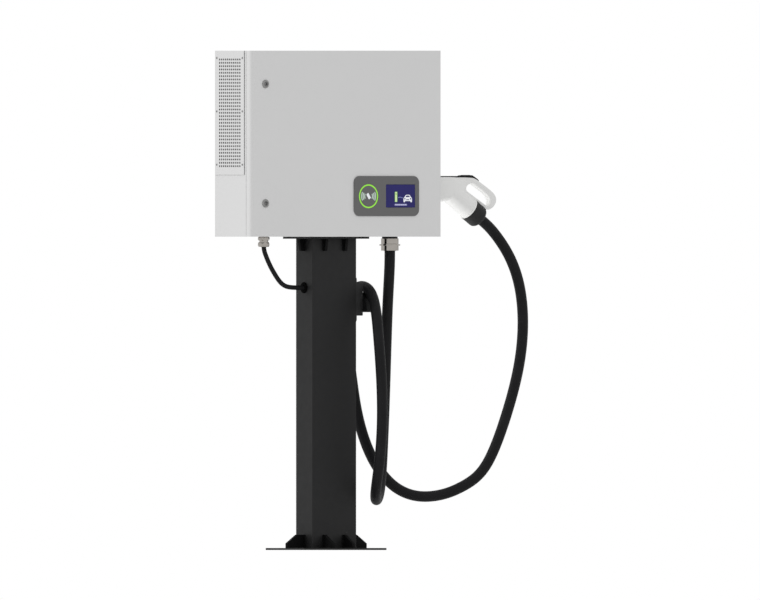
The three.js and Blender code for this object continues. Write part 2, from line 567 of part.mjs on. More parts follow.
// ---------------------------------------------------------------- holster and connector
function alongGun(distance, across = 0) {
  const angle = (GUN.slope * Math.PI) / 180;
  return [GUN.seamX + distance * Math.cos(angle) + across * Math.sin(angle),
    GUN.seamZ - distance * Math.sin(angle) + across * Math.cos(angle)];
}

// A turned piece on the barrel's sloping axis; places are distances past the seam.
function turnedOnGun(profile, sides = 24) {
  const points = [[0, profile[0][1]], ...profile, [0, profile.at(-1)[1]]]
    .map(([radius, place]) => new THREE.Vector2(radius, place));
  const geometry = new THREE.LatheGeometry(points, sides).rotateZ(-Math.PI / 2);
  geometry.rotateY((GUN.slope * Math.PI) / 180).translate(GUN.seamX, MID_Y, GUN.seamZ);
  return toSolid(geometry);
}

function buildHolster() {
  const side = CAB.half + GAP;
  const square = roundedRect(MID_Y, SOCKET.z, 2 * SOCKET.flange, 2 * SOCKET.flange, 14);
  const flange = fill(square, 'x', side, side + 4);
  const cup = join(flange, rod(SOCKET.radius, 'x', side + 2, SOCKET.mouth, MID_Y, SOCKET.z, 24));
  addPiece('holster_socket', cut(cup, rod(SOCKET.bore, 'x', side + 4, SOCKET.mouth + 5, MID_Y, SOCKET.z, 24)),
    FINISH.blackPlastic);
}

const GRIP_OUTER = [[470, 1060], [470, 1117], [541, 1117], [562, 1106.5], [615, 1074], [623.5, 1065.5],
  [627, 1054], [625, 1041], [614, 1027.5], [602.5, 1021], [592, 1021.5], [560, 1042], [540, 1040],
  [500, 1040]];
const GRIP_HOLE = [[514, 1082], [518, 1092], [527, 1098], [540, 1096.5], [575, 1075.5], [596, 1060],
  [600, 1051.5], [601, 1040.5], [596, 1031], [566, 1048], [540, 1062], [519, 1074]];
const BUTTON = { start: 491, crest: 535, end: 572, low: 1116.4, top: 1124.6, tip: 1097.5, travel: 3.2 };

function buttonShape(grow) {
  return outline([[BUTTON.start - grow, BUTTON.low - grow], [BUTTON.crest - 3, BUTTON.low - grow],
    [BUTTON.end - 2 + grow, BUTTON.tip - grow], [BUTTON.end + 1 + grow, BUTTON.tip + 3.5 + grow],
    [BUTTON.crest + 1, BUTTON.top + grow], [BUTTON.start + 3, BUTTON.top + grow],
    [BUTTON.start - grow, BUTTON.top - 3]]);
}

// The pocket leaves room for the button in every place of its stroke.
function buttonPocket() {
  const press = fill(buttonShape(GAP + 0.2), 'y', MID_Y - 7.5, MID_Y + 7.5);
  const places = [0, 0.25, 0.5, 0.75, 1].map((part) => press.translate([0, 0, -part * BUTTON.travel]));
  return join(...places);
}

function buildGun() {
  const gripHalf = 12;
  const head = fill(roundedRect(MID_Y, 1081, 60, 73, 24), 'x', GUN.headStart, 479, 4);
  const barrel = turnedOnGun([[26, -112], [29, -104], [31, -90], [GUN.radius, -50], [GUN.radius, -1]]);
  const hole = fill(outline(GRIP_HOLE), 'y', MID_Y - 30, MID_Y + 30);
  const grip = fill(outline(GRIP_OUTER), 'y', MID_Y - gripHalf, MID_Y + gripHalf, 4);
  const bootRoom = turnedOnGun([[GUN.boot + 0.5, -0.7], [GUN.boot + 0.5, 90]]);
  const strip = box(GUN.headStart - 5, 489.5, MID_Y - 9.3, MID_Y + 9.3, 1113.4, 1130);
  const noseRoom = rod(25.3, 'x', GUN.headStart - 5, 416, MID_Y, SOCKET.z, 24);
  const shell = cut(join(head, barrel, grip), hole, bootRoom, strip, buttonPocket(), noseRoom);
  const half = (y0, y1) => shell.intersect(box(380, 660, y0, y1, 960, 1150));
  addPiece('gun_shell_front', half(-80, MID_Y - GAP / 2), FINISH.whitePlastic);
  addPiece('gun_shell_rear', half(MID_Y + GAP / 2, 60), FINISH.whitePlastic);
  const trim = fill(roundedRect(MID_Y, 1117.2, 18, 7, 2), 'x', GUN.headStart + 1, 489);
  addPiece('gun_top_strip', trim, FINISH.blackPlastic);
  addPiece('gun_button', fill(buttonShape(0), 'y', MID_Y - 7, MID_Y + 7, 1), FINISH.blackPlastic);

  let nose = join(rod(29.5, 'x', 371, GUN.headStart - GAP, MID_Y, SOCKET.z, 24),
    rod(25, 'x', GUN.headStart - 2, 415, MID_Y, SOCKET.z, 24));
  nose = cut(nose, rod(26.5, 'x', 366, 383, MID_Y, SOCKET.z, 28));
  for (let n = 0; n < 6; n += 1) {
    const angle = (n * Math.PI) / 3;
    const [y, z] = [MID_Y + 15 * Math.cos(angle), SOCKET.z + 15 * Math.sin(angle)];
    nose = join(nose, rod(n % 3 === 0 ? 6.5 : 4.5, 'x', 374, 384, y, z, 12));
  }
  addPiece('gun_nose', nose, FINISH.blackPlastic);

  const boot = turnedOnGun([[GUN.boot, 0], [GUN.boot, 39], [31, 45], [25, 50], [20, 54]]);
  const mouth = turnedOnGun([[CABLE.radius + 1.2, 34], [CABLE.radius + 1.2, 60]]);
  addPiece('gun_boot', cut(boot, mouth), FINISH.rubber);
}

// ---------------------------------------------------------------- charging cable
// From inside the gland's nut down past the hook, up over it, behind the post and round to the boot.
const CHARGE_ROUTE = [[237, -3.5, 908], [237, -3.5, 850], [233, 2, 745], [243, 22, 620], [257, 46, 505],
  [272, 72, 395], [274, 82, 288], [259, 69, 216], [223, 31, 163], [172, -21, 144], [126, -77, 163],
  [100, -123, 216], [96, -144, 287], [100, -149, 392], [98, -147, 517], [91, -139, 651], [101, -115, 723],
  [121, -67, 776], [136, -3, 797], [150, 64, 783], [165, 121, 731], [177, 142, 660], [194, 134, 544],
  [223, 149, 424], [261, 154, 322], [303, 146, 242], [359, 130, 181], [425, 104, 156], [494, 73, 164],
  [545, 52, 186], [598, 29, 220], [638, 17, 282], [681, 5, 398], [723, -6, 542], [737, -11, 677],
  [723, -11, 798], [683, -10, 886], [630, -9, 948], [601, -8.5, 974], [569, -8.5, 996]];

function buildChargingCable() {
  buildGland('charge_gland', GLAND_X, CHARGE_GLAND);
  addPiece('charge_cable', tubeAlong(CHARGE_ROUTE, CABLE.radius, CABLE.sides, CABLE.steps), FINISH.rubber);
}

// ---------------------------------------------------------------- assembly
buildBase();
buildTube();
buildHeadPlate();
buildShell();
buildGrille();
buildDoor();
buildHinge('upper', HINGE.upper);
buildHinge('lower', HINGE.lower);
buildLock('upper', LOCK.upper);
buildLock('lower', LOCK.lower);
buildPanel();
buildInside();
buildSupply();
buildHook();
buildHolster();
buildGun();
buildChargingCable();

export default post;
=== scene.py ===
"""Looks of the charging post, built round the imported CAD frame. Shapes are drawn in millimetres."""
import math

import bmesh
import bpy
from mathutils import Matrix, Vector
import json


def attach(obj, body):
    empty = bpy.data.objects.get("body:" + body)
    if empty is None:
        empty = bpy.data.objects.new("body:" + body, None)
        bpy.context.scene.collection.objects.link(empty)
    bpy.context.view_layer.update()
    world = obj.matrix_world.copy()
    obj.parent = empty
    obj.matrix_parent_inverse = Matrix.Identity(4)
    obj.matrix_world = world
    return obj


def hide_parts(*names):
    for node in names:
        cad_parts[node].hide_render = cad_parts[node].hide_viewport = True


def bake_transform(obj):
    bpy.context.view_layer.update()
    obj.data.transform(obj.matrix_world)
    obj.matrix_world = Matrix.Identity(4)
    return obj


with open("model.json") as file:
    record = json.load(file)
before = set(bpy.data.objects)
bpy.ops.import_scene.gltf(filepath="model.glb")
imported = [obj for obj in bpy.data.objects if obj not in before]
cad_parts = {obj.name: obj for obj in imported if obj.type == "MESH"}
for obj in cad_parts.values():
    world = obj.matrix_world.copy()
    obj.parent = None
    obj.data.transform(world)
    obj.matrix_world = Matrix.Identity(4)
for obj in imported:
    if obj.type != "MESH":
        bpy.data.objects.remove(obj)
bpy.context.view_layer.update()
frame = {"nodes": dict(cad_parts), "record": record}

MM = 0.001
GAP = 0.3
MID_Y = -8.5                      # middle of the cabinet's depth
GLAND_Y = -3.5
ENTRY_Z = 787.0                   # height at which the supply cable enters the post
SIDE = 358.0                      # half the cabinet's width
FRONT, SEAM, REAR = -96.5, -76.5, 79.5
BOTTOM, TOP = 940.0, 1498.0
PLANES = {                        # where a flat outline's two numbers and its thickness go
    "x": Matrix(((0, 0, 1), (1, 0, 0), (0, 1, 0))),
    "y": Matrix(((1, 0, 0), (0, 0, -1), (0, 1, 0))),
    "z": Matrix.Identity(3),
}

CORNERS = [(-1, -1), (-1, 1), (1, -1), (1, 1)]


def placed(name, data):
    """A new object in the scene."""
    made = bpy.data.objects.new(name, data)
    bpy.context.scene.collection.objects.link(made)
    return made


# -------- camera
CAMERA_TURN = math.radians(-37.1)
CAMERA_AIM = Vector((0.1290, -0.0975, 0.75))
CAMERA_BACK = Vector((math.sin(CAMERA_TURN), -math.cos(CAMERA_TURN), 0))

camera_data = bpy.data.cameras.new("camera")
camera_data.type = "ORTHO"
camera_data.ortho_scale = 2.28
camera_data.clip_end = 50
camera = placed("camera", camera_data)
camera.location = CAMERA_AIM + 6 * CAMERA_BACK
camera.rotation_mode = "QUATERNION"
camera.rotation_quaternion = (-CAMERA_BACK).to_track_quat("-Z", "Y")
bpy.context.scene.camera = camera


# -------- mesh tools, all in millimetres
def from_bmesh(shape):
    bmesh.ops.recalc_face_normals(shape, faces=shape.faces)
    mesh = bpy.data.meshes.new("draft")
    shape.to_mesh(mesh)
    shape.free()
    return placed("draft", mesh)


def settle(piece):
    """Replaces a draft's mesh by what its modifiers make of it."""
    evaluated = piece.evaluated_get(bpy.context.evaluated_depsgraph_get())
    mesh = bpy.data.meshes.new_from_object(evaluated)
    piece.modifiers.clear()
    piece.data = mesh
    return piece


def combine(operation, piece, others):
    for other in others:
        modifier = piece.modifiers.new("combine", "BOOLEAN")
        modifier.operation = operation
        modifier.solver = "EXACT"
        modifier.object = other
    settle(piece)
    for other in others:
        bpy.data.objects.remove(other)
    return piece


def carve(piece, *tools):
    return combine("DIFFERENCE", piece, tools)


def weld(piece, *others):
    return combine("UNION", piece, others)


def gather(*pieces):
    """Puts separate closed drafts into one draft without joining their surfaces."""
    shape = bmesh.new()
    for piece in pieces:
        shape.from_mesh(piece.data)
        bpy.data.objects.remove(piece)
    mesh = bpy.data.meshes.new("draft")
    shape.to_mesh(mesh)
    shape.free()
    return placed("draft", mesh)


def moved(piece, matrix):
    piece.data.transform(matrix)
    if matrix.determinant() < 0:
        piece.data.flip_normals()
    return piece


def copied(piece, matrix=Matrix.Identity(4)):
    return moved(placed("draft", piece.data.copy()), matrix)


def shift(x=0.0, y=0.0, z=0.0):
    return Matrix.Translation((x, y, z))


MIRROR_X = Matrix.Diagonal((-1, 1, 1, 1))
MIRROR_Y = Matrix.Diagonal((1, -1, 1, 1))


def arc(cu, cv, radius, start, stop, steps):
    """Points of an arc round (cu, cv), from one angle in degrees to the other."""
    angles = [math.radians(start + (stop - start) * n / steps) for n in range(steps + 1)]
    return [(cu + radius * math.cos(a), cv + radius * math.sin(a)) for a in angles]


def rounded(cu, cv, width, height, radius, steps=8):
    """Outline of a rounded rectangle round (cu, cv)."""
    points = []
    for su, sv, start in ((1, -1, -90), (1, 1, 0), (-1, 1, 90), (-1, -1, 180)):
        u, v = cu + su * (width / 2 - radius), cv + sv * (height / 2 - radius)
        points += arc(u, v, radius, start, start + 90, steps)
    return points


def ring(cu, cv, radius, sides=32):
    return arc(cu, cv, radius, 0, 360, sides)[:-1]


def circle(matrix, radius, place, sides):
    return [matrix @ Vector((u, v, place)) for u, v in ring(0, 0, radius, sides)]


def slab(loops, axis, low, high, bevel=0.0):
    """A flat plate between two places on an axis. The first outline is its edge, the others are holes."""
    curve = bpy.data.curves.new("outline", "CURVE")
    curve.dimensions = "2D"
    curve.fill_mode = "BOTH"
    curve.extrude = (high - low) / 2 - bevel
    curve.bevel_depth = bevel
    curve.bevel_resolution = 1
    curve.offset = -bevel
    for points in loops:
        spline = curve.splines.new("POLY")
        spline.points.add(len(points) - 1)
        for point, (u, v) in zip(spline.points, points):
            point.co = (u, v, 0, 1)
        spline.use_cyclic_u = True
    source = placed("outline", curve)
    mesh = bpy.data.meshes.new_from_object(source.evaluated_get(bpy.context.evaluated_depsgraph_get()))
    bpy.data.objects.remove(source)
    shape = bmesh.new()
    shape.from_mesh(mesh)
    bmesh.ops.remove_doubles(shape, verts=shape.verts, dist=1e-4)
    bmesh.ops.dissolve_degenerate(shape, edges=shape.edges, dist=1e-5)
    place = PLANES[axis].to_4x4()
    middle = (low + high) / 2
    place.translation = {"x": (middle, 0, 0), "y": (0, middle, 0), "z": (0, 0, middle)}[axis]
    bmesh.ops.transform(shape, matrix=place, verts=shape.verts)
    return from_bmesh(shape)


def block(x0, x1, y0, y1, z0, z1, bevel=0.0, segments=2):
    shape = bmesh.new()
    bmesh.ops.create_cube(shape, size=1)
    size = Matrix.Diagonal((x1 - x0, y1 - y0, z1 - z0, 1))
    place = shift((x0 + x1) / 2, (y0 + y1) / 2, (z0 + z1) / 2) @ size
    bmesh.ops.transform(shape, matrix=place, verts=shape.verts)
    if bevel:
        bmesh.ops.bevel(shape, geom=shape.edges[:], offset=bevel, segments=segments, profile=0.5,
                        affect="EDGES")
    return from_bmesh(shape)


def frame_matrix(axis, u, v):
    """Local Z runs along the axis, and (u, v) are the other two row axes in X, Y, Z order."""
    if axis == "x":
        return Matrix(((0, 0, 1, 0), (1, 0, 0, u), (0, 1, 0, v), (0, 0, 0, 1)))
    if axis == "y":
        return Matrix(((1, 0, 0, u), (0, 0, 1, 0), (0, -1, 0, v), (0, 0, 0, 1)))
    return shift(u, v, 0)


def stacked(rings, close_ends=True, closed_loop=False):
    """Skins a list of equal rings of points."""
    shape = bmesh.new()
    rows = [[shape.verts.new(point) for point in points] for points in rings]
    count = len(rows[0])
    pairs = list(zip(rows, rows[1:]))
    if closed_loop:
        pairs.append((rows[-1], rows[0]))
    for lower, upper in pairs:
        for n in range(count):
            m = (n + 1) % count
            shape.faces.new((lower[n], lower[m], upper[m], upper[n]))
    if close_ends and not closed_loop:
        shape.faces.new(list(reversed(rows[0])))
        shape.faces.new(rows[-1])
    return from_bmesh(shape)


def lathe(profile, matrix, sides=48, bore=None, inside=None):
    """Turned piece. profile is (radius, place) along local Z; inside is its bore's, the other way round."""
    if bore is None and inside is None:
        return stacked([circle(matrix, r, z, sides) for r, z in profile])
    inside = inside or [(bore, profile[-1][1]), (bore, profile[0][1])]
    return stacked([circle(matrix, r, z, sides) for r, z in profile + inside], closed_loop=True)


def hexagon(across, low, high, chamfer, matrix, bore=None, sides=72, spin=0.0):
    """A hexagon nut of that size across its corners, its corners cut back to a cone at both ends."""
    flat = across / 2 * math.cos(math.pi / 6)
    levels = [(low, flat - 0.4), (low + chamfer, None), (high - chamfer, None), (high, flat - 0.4)]

    def outline(place, cone):
        points = []
        for n in range(sides):
            angle = 2 * math.pi * n / sides
            reach = flat / math.cos((angle + spin) % (math.pi / 3) - math.pi / 6)
            radius = reach if cone is None else min(reach, cone)
            points.append(matrix @ Vector((radius * math.cos(angle), radius * math.sin(angle), place)))
        return points

    rings = [outline(place, cone) for place, cone in levels]
    if bore is None:
        return stacked(rings)
    rings += [circle(matrix, bore, place, sides) for place in (high, low)]
    return stacked(rings, closed_loop=True)


def sweep(path, radius, sides=16, taper=None):
    """A round tube along a path of points. taper gives each point's own radius."""
    points = [Vector(p) for p in path]
    rings = []
    side = None
    for n, point in enumerate(points):
        ahead = (points[min(n + 1, len(points) - 1)] - points[max(n - 1, 0)]).normalized()
        if side is None:
            side = ahead.orthogonal().normalized()
        side = (side - ahead * side.dot(ahead)).normalized()
        up = ahead.cross(side)
        size = taper[n] if taper else radius
        rings.append([point + size * (math.cos(2 * math.pi * k / sides) * side
                                      + math.sin(2 * math.pi * k / sides) * up) for k in range(sides)])
    return stacked(rings)


def route(points, spacing):
    """The cubic spline that the points steer, with a place about every so many millimetres."""
    first, last = Vector(points[0]), Vector(points[-1])
    inner = [Vector(p) for p in points]
    knots = [2 * first - inner[1], *inner, 2 * last - inner[-2]]
    fine = []
    for n in range(len(knots) - 3):
        a, b, c, d = knots[n:n + 4]
        steps = max(2, round((c - b).length / spacing))
        for k in range(steps):
            t = k / steps
            fine.append(((1 - t) ** 3 * a + (3 * t ** 3 - 6 * t ** 2 + 4) * b
                         + (-3 * t ** 3 + 3 * t ** 2 + 3 * t + 1) * c + t ** 3 * d) / 6)
    fine.append(last)
    return fine


def crease(mesh, degrees):
    """Smooth shading, apart from edges sharper than the angle."""
    shape = bmesh.new()
    shape.from_mesh(mesh)
    bmesh.ops.remove_doubles(shape, verts=shape.verts, dist=2e-4)
    limit = math.radians(degrees)
    for face in shape.faces:
        face.smooth = True
    for edge in shape.edges:
        edge.smooth = len(edge.link_faces) == 2 and edge.calc_face_angle(0) < limit
    shape.to_mesh(mesh)
    shape.free()


def finished(piece, name, body, look, nodes=(), slot=None, sharp=32):
    """Turns a draft into a piece in metres that rides on a body and stands for the named CAD nodes."""
    piece.name = name
    piece.data.name = name
    crease(piece.data, sharp)
    piece.data.transform(Matrix.Scale(MM, 4))
    piece.data.materials.clear()
    piece.data.materials.append(LOOKS[look])
    flats = piece.modifiers.new("flats", "WEIGHTED_NORMAL")
    flats.keep_sharp = True
    if body:
        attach(piece, body)
    if nodes:
        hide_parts(*nodes)
    return piece


def stand_in(piece, name, body, look, **more):
    """A finished piece that takes the place of the CAD node of its own name."""
    return finished(piece, name, body, look, [name], **more)


# -------- materials
class Nodes:
    """Short names for building one material's nodes."""

    def __init__(self, name):
        self.material = bpy.data.materials.new(name)
        self.material.use_nodes = True
        self.tree = self.material.node_tree
        self.shader = self.tree.nodes["Principled BSDF"]
        self.place = self.add("ShaderNodeTexCoord").outputs["Object"]

    def add(self, kind, **settings):
        node = self.tree.nodes.new(kind)
        for key, value in settings.items():
            setattr(node, key, value)
        return node

    def link(self, source, target):
        self.tree.links.new(source, target)

    def stretched(self, scale):
        node = self.add("ShaderNodeMapping")
        node.inputs["Scale"].default_value = scale
        self.link(self.place, node.inputs["Vector"])
        return node.outputs["Vector"]

    def noise(self, scale, detail=3.0, stretch=None):
        node = self.add("ShaderNodeTexNoise")
        node.inputs["Scale"].default_value = scale
        node.inputs["Detail"].default_value = detail
        self.link(self.stretched(stretch) if stretch else self.place, node.inputs["Vector"])
        return node.outputs["Fac"]

    def cells(self, scale):
        node = self.add("ShaderNodeTexVoronoi")
        node.inputs["Scale"].default_value = scale
        self.link(self.place, node.inputs["Vector"])
        return node.outputs["Distance"]

    def ramp(self, factor, stops):
        node = self.add("ShaderNodeValToRGB")
        while len(node.color_ramp.elements) < len(stops):
            node.color_ramp.elements.new(0.5)
        for element, (position, colour) in zip(node.color_ramp.elements, stops):
            element.position = position
            element.color = (*colour, 1)
        self.link(factor, node.inputs["Fac"])
        return node.outputs["Color"]

    def spread(self, factor, low, high):
        node = self.add("ShaderNodeMapRange")
        node.inputs["From Min"].default_value = 0.3
        node.inputs["From Max"].default_value = 0.7
        node.inputs["To Min"].default_value = low
        node.inputs["To Max"].default_value = high
        self.link(factor, node.inputs["Value"])
        return node.outputs["Result"]

    def bump(self, height, strength, distance, under=None):
        node = self.add("ShaderNodeBump")
        node.inputs["Strength"].default_value = strength
        node.inputs["Distance"].default_value = distance
        self.link(height, node.inputs["Height"])
        if under:
            self.link(under, node.inputs["Normal"])
        return node.outputs["Normal"]

    def put(self, socket, value):
        target = self.shader.inputs[socket]
        if hasattr(value, "is_linked"):
            self.link(value, target)
        else:
            target.default_value = value


def tinted(colour, factor):
    return tuple(min(1.0, channel * factor) for channel in colour)


def surface(name, colour, rough, metal=0.0, vary=0.04, blotch=5.0, grain=900.0, depth=0.00015, strength=0.25,
            brushed=None, specular=0.5, sheen=0.0, glow=0.0, cells=0.0):
    """A material with slow colour drift, uneven gloss and a fine surface grain."""
    build = Nodes(name)
    drift = build.noise(blotch, 4)
    stops = [(0.3, tinted(colour, 1 - vary)), (0.7, tinted(colour, 1 + vary))]
    build.put("Base Color", build.ramp(drift, stops))
    fine = build.noise(grain, 2, stretch=brushed)
    patches = build.noise(blotch * 9, 5, stretch=brushed)
    build.put("Roughness", build.spread(patches, max(0.02, rough - 0.05), min(1.0, rough + 0.05)))
    normal = build.bump(fine, strength, depth)
    if cells:
        normal = build.bump(build.cells(cells), strength, depth, under=normal)
    build.put("Normal", normal)
    build.put("Metallic", metal)
    build.put("Specular IOR Level", specular)
    if sheen:
        build.put("Sheen Weight", sheen)
        build.put("Sheen Roughness", 0.4)
    if glow:
        build.put("Emission Color", (*colour, 1))
        build.put("Emission Strength", glow)
    return build.material


def pcb_material():
    """Green solder mask with the lighter lines of copper tracks under it."""
    build = Nodes("circuit_board")
    brick = build.add("ShaderNodeTexBrick")
    brick.inputs["Scale"].default_value = 160
    brick.inputs["Mortar Size"].default_value = 0.05
    brick.inputs["Color1"].default_value = (0.012, 0.10, 0.045, 1)
    brick.inputs["Color2"].default_value = (0.015, 0.12, 0.05, 1)
    brick.inputs["Mortar"].default_value = (0.05, 0.25, 0.10, 1)
    build.link(build.stretched((1, 0.02, 1)), brick.inputs["Vector"])
    build.put("Base Color", brick.outputs["Color"])
    build.put("Roughness", build.spread(build.noise(60, 3), 0.25, 0.4))
    build.put("Normal", build.bump(brick.outputs["Fac"], 0.3, 0.0001))
    return build.material


BLACK = dict(grain=2200, depth=0.0001, strength=0.3)
STEEL = dict(metal=1.0, grain=1500)
LOOKS = {
    "white_paint": surface("white_paint", (0.70, 0.70, 0.70), 0.42, vary=0.006, grain=1100, depth=0.00008,
                           strength=0.18, specular=0.3),
    "black_paint": surface("black_paint", (0.0100, 0.0100, 0.0104), 0.50, vary=0.08, grain=2200,
                           depth=0.00008, strength=0.3, specular=0.27, cells=1500),
    "zinc_steel": surface("zinc_steel", (0.56, 0.57, 0.58), 0.36, vary=0.10, blotch=40, **STEEL),
    "module_metal": surface("module_metal", (0.60, 0.61, 0.62), 0.34, metal=0.9, vary=0.05,
                            brushed=(1, 40, 40), grain=60, depth=0.00005),
    "nickel": surface("nickel", (0.42, 0.395, 0.365), 0.10, metal=1.0, vary=0.08, blotch=30, grain=1800,
                      depth=0.00002, strength=0.15),
    "copper": surface("copper", (0.62, 0.30, 0.16), 0.34, metal=1.0, vary=0.14, blotch=40,
                      brushed=(1, 30, 30), grain=80, depth=0.00004),
    "cable_rubber": surface("cable_rubber", (0.0120, 0.0120, 0.0130), 0.5, vary=0.14, blotch=14,
                            grain=1600, depth=0.00010, strength=0.4, specular=0.1),
    "black_rubber": surface("black_rubber", (0.010, 0.010, 0.0105), 0.6, vary=0.14, specular=0.15,
                            sheen=0.02, **BLACK),
    "black_plastic": surface("black_plastic", (0.0075, 0.0075, 0.008), 0.5, vary=0.10, grain=1500,
                             depth=0.00008, strength=0.3, specular=0.15, cells=2600),
    # the fleece's own dark grey, darkened further as painted shade so the grille holes read dark
    "filter_mat": surface("filter_mat", (0.020, 0.0205, 0.021), 0.95, vary=0.3, blotch=90, grain=1400,
                          depth=0.0006, strength=0.8, specular=0.1),
    "grey_plastic": surface("grey_plastic", (0.25, 0.26, 0.27), 0.45, vary=0.04, grain=1700, depth=0.00006),
    "bezel_plastic": surface("bezel_plastic", (0.135, 0.135, 0.135), 0.38, vary=0.02, grain=1500,
                             depth=0.00004, strength=0.15, specular=0.3),
    "white_plastic": surface("white_plastic", (0.78, 0.78, 0.77), 0.40, vary=0.012, grain=1900,
                             depth=0.00005, strength=0.18, specular=0.45),
    "circuit_board": pcb_material(),
    "screen": surface("screen", (0.024, 0.022, 0.128), 0.2, vary=0.05, blotch=12, grain=1200, depth=0.00001,
                      strength=0.02, glow=0.1, specular=0.15),
    "green_plastic": surface("green_plastic", (0.31, 0.78, 0.06), 0.3, vary=0.06, blotch=60, grain=900,
                             depth=0.00005, glow=0.2),
    # further finishes; several are darker or lighter copies of the ones above that carry painted shade and
    # painted light
    # painted shade: a darker, matter copy of black_paint for the stiffeners and weld seams, standing in for
    # the shade round the pole's foot and under the top flange
    "shaded_black_paint": surface("shaded_black_paint", (0.004, 0.004, 0.0042), 0.6, vary=0.12, specular=0.08, cells=1500,
                         **BLACK),
    # painted light: a lighter copy of black_plastic that lifts the hook arm out of the shade the charging
    # cable throws on it
    "painted_light_arm": surface("painted_light_arm", (0.028, 0.028, 0.0285), 0.55, vary=0.06, grain=2200, depth=0.00008,
                         strength=0.3, specular=0.2, cells=1500),
    # painted shade: a near-black copy of black_rubber that makes the grommet read as a shaded hole
    "grommet_painted_shade": surface("grommet_painted_shade", (0.0012, 0.0012, 0.0012), 0.7, vary=0.1, specular=0.03),
    "boot_rubber": surface("boot_rubber", (0.011, 0.011, 0.0115), 0.55, vary=0.12, specular=0.3, **BLACK),
    "collar_white": surface("collar_white", (0.92, 0.92, 0.91), 0.35, vary=0.012, grain=1900, depth=0.00005),
    # a darker copy of nickel for the lock housings; its darkness is partly painted shade for the lock's
    # shaded side
    "shaded_lock_nickel": surface("shaded_lock_nickel", (0.30, 0.30, 0.295), 0.2, vary=0.1, blotch=60, **STEEL),
    "dark_steel": surface("dark_steel", (0.33, 0.33, 0.33), 0.45, vary=0.15, blotch=60, **STEEL),
    # dark foam for the door gasket, also worn by the painted shadow strip along the grille cover's front edge
    "gasket_foam_and_painted_shadow": surface("gasket_foam_and_painted_shadow", (0.018, 0.018, 0.02), 0.9, vary=0.2, cells=900, depth=0.0004,
                         strength=0.6, specular=0.1),
}
MARKS = {                         # printed marks: colour, its variation, size of the patches, glow
    "icon_white": ((0.80, 0.82, 0.86), 0.02, 5, 0.2),
    "icon_lime": ((0.62, 0.78, 0.40), 0.08, 300, 0.2),
    "icon_green": ((0.22, 0.48, 0.10), 0.08, 300, 0.2),
    "icon_blue": ((0.16, 0.18, 0.42), 0.05, 5, 0.15),
    "icon_pale": ((0.52, 0.52, 0.78), 0.05, 5, 0.15),
    "wave_grey": ((0.60, 0.74, 0.64), 0.03, 5, 0),
}
for mark, (colour, vary, blotch, glow) in MARKS.items():
    LOOKS[mark] = surface(mark, colour, 0.4, vary=vary, blotch=blotch, glow=glow, depth=0.00001)

# -------- cables
CHARGE_ROUTE = [
    (237, -3.5, 908), (237, -3.5, 850), (233, 2, 745), (243, 22, 620), (257, 46, 505), (272, 72, 395),
    (274, 82, 288), (259, 69, 216), (223, 31, 163), (172, -21, 144), (126, -77, 163), (100, -123, 216),
    (96, -144, 287), (100, -149, 392), (98, -147, 517), (91, -139, 651), (101, -115, 723), (121, -67, 776),
    (136, -3, 797), (150, 64, 783), (165, 121, 731), (177, 142, 660), (194, 134, 544), (223, 149, 424),
    (261, 154, 322), (303, 146, 242), (359, 130, 181), (425, 104, 156), (494, 73, 164), (545, 52, 186),
    (598, 29, 220), (638, 17, 282), (681, 5, 398), (723, -6, 542), (737, -11, 677), (723, -11, 798),
    (683, -10, 886), (630, -9, 948), (601, -8.5, 974), (569, -8.5, 996),
]
SUPPLY_ROUTE = [
    (-237, -3.5, 914), (-236.8, -3.5, 905), (-235, -3.5, 896), (-231, -3.4, 887), (-226, -3.2, 876.5),
    (-219.5, -3, 864.5), (-212.3, -2.8, 852.3), (-204, -2.5, 839.7), (-195, -2.2, 828),
    (-186.3, -1.9, 816.6), (-177, -1.6, 806.6), (-167.3, -1.3, 798.3), (-156.5, -1, 792.4),
    (-144.6, -0.7, 789.2), (-132.3, -0.4, 787.8), (-120, -0.2, 787.2), (-108, 0, 787), (-96, 0, 787),
    (-84, 0, 787),
]


def cable(name, points, radius, sides, spacing, body):
    line = route(points, spacing)
    piece = stand_in(sweep(line, radius, sides), name, body, "cable_rubber", sharp=50)
    return piece


charge_cable = cable("charge_cable", CHARGE_ROUTE, 16, 32, 8, None)
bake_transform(charge_cable)
cable("supply_cable", SUPPLY_ROUTE, 7, 20, 3, "post")


# -------- post
def stiffener_outline(wall, reach_top, reach_end, weld, tall, end):
    return [(wall, weld), (wall, tall), (wall + reach_top, tall), (wall + reach_end, end),
            (wall + reach_end, weld)]


def six_stiffeners(side_outline, front_outline, bevel=0.8):
    side = slab([side_outline], "y", -5, 5, bevel)
    front = slab([front_outline], "x", 32.5, 42.5, bevel)
    pieces = [side, copied(side, MIRROR_X), front, copied(front, MIRROR_X), copied(front, MIRROR_Y)]
    pieces.append(copied(front, MIRROR_X @ MIRROR_Y))
    return pieces


def bead(start, end, size=2.6, step=2.4):
    """A weld seam: a row of overlapping ripples between two points."""
    a, b = Vector(start), Vector(end)
    count = max(3, round((b - a).length / step) * 3)
    path = [a.lerp(b, n / count) for n in range(count + 1)]
    sizes = [size * (0.86 + 0.14 * abs(math.sin(math.pi * n / 3))) for n in range(count + 1)]
    sizes[0] = sizes[-1] = size * 0.5
    return sweep(path, size, 10, sizes)


def seams(height, base, ends):
    """Seams up both sides of each stiffener and along its foot."""
    made = []
    for wall, reach, flip in ((82.5, ends[0], False), (41.0, ends[1], True)):
        centres = (-37.5, 37.5) if flip else (0.0,)
        for centre in centres:
            for sign in (-1, 1):
                for edge in (-6.3, 6.3):
                    foot = (sign * (wall + 1), centre + edge, base)
                    head = (sign * (wall + 1), centre + edge, height)
                    tip = (sign * (wall + reach - 3), centre + edge, base)
                    spots = [foot, head, tip]
                    if flip:
                        spots = [(b, a, c) for a, b, c in spots]
                    made += [bead(spots[0], spots[1]), bead(spots[0], spots[2])]
    return gather(*made)


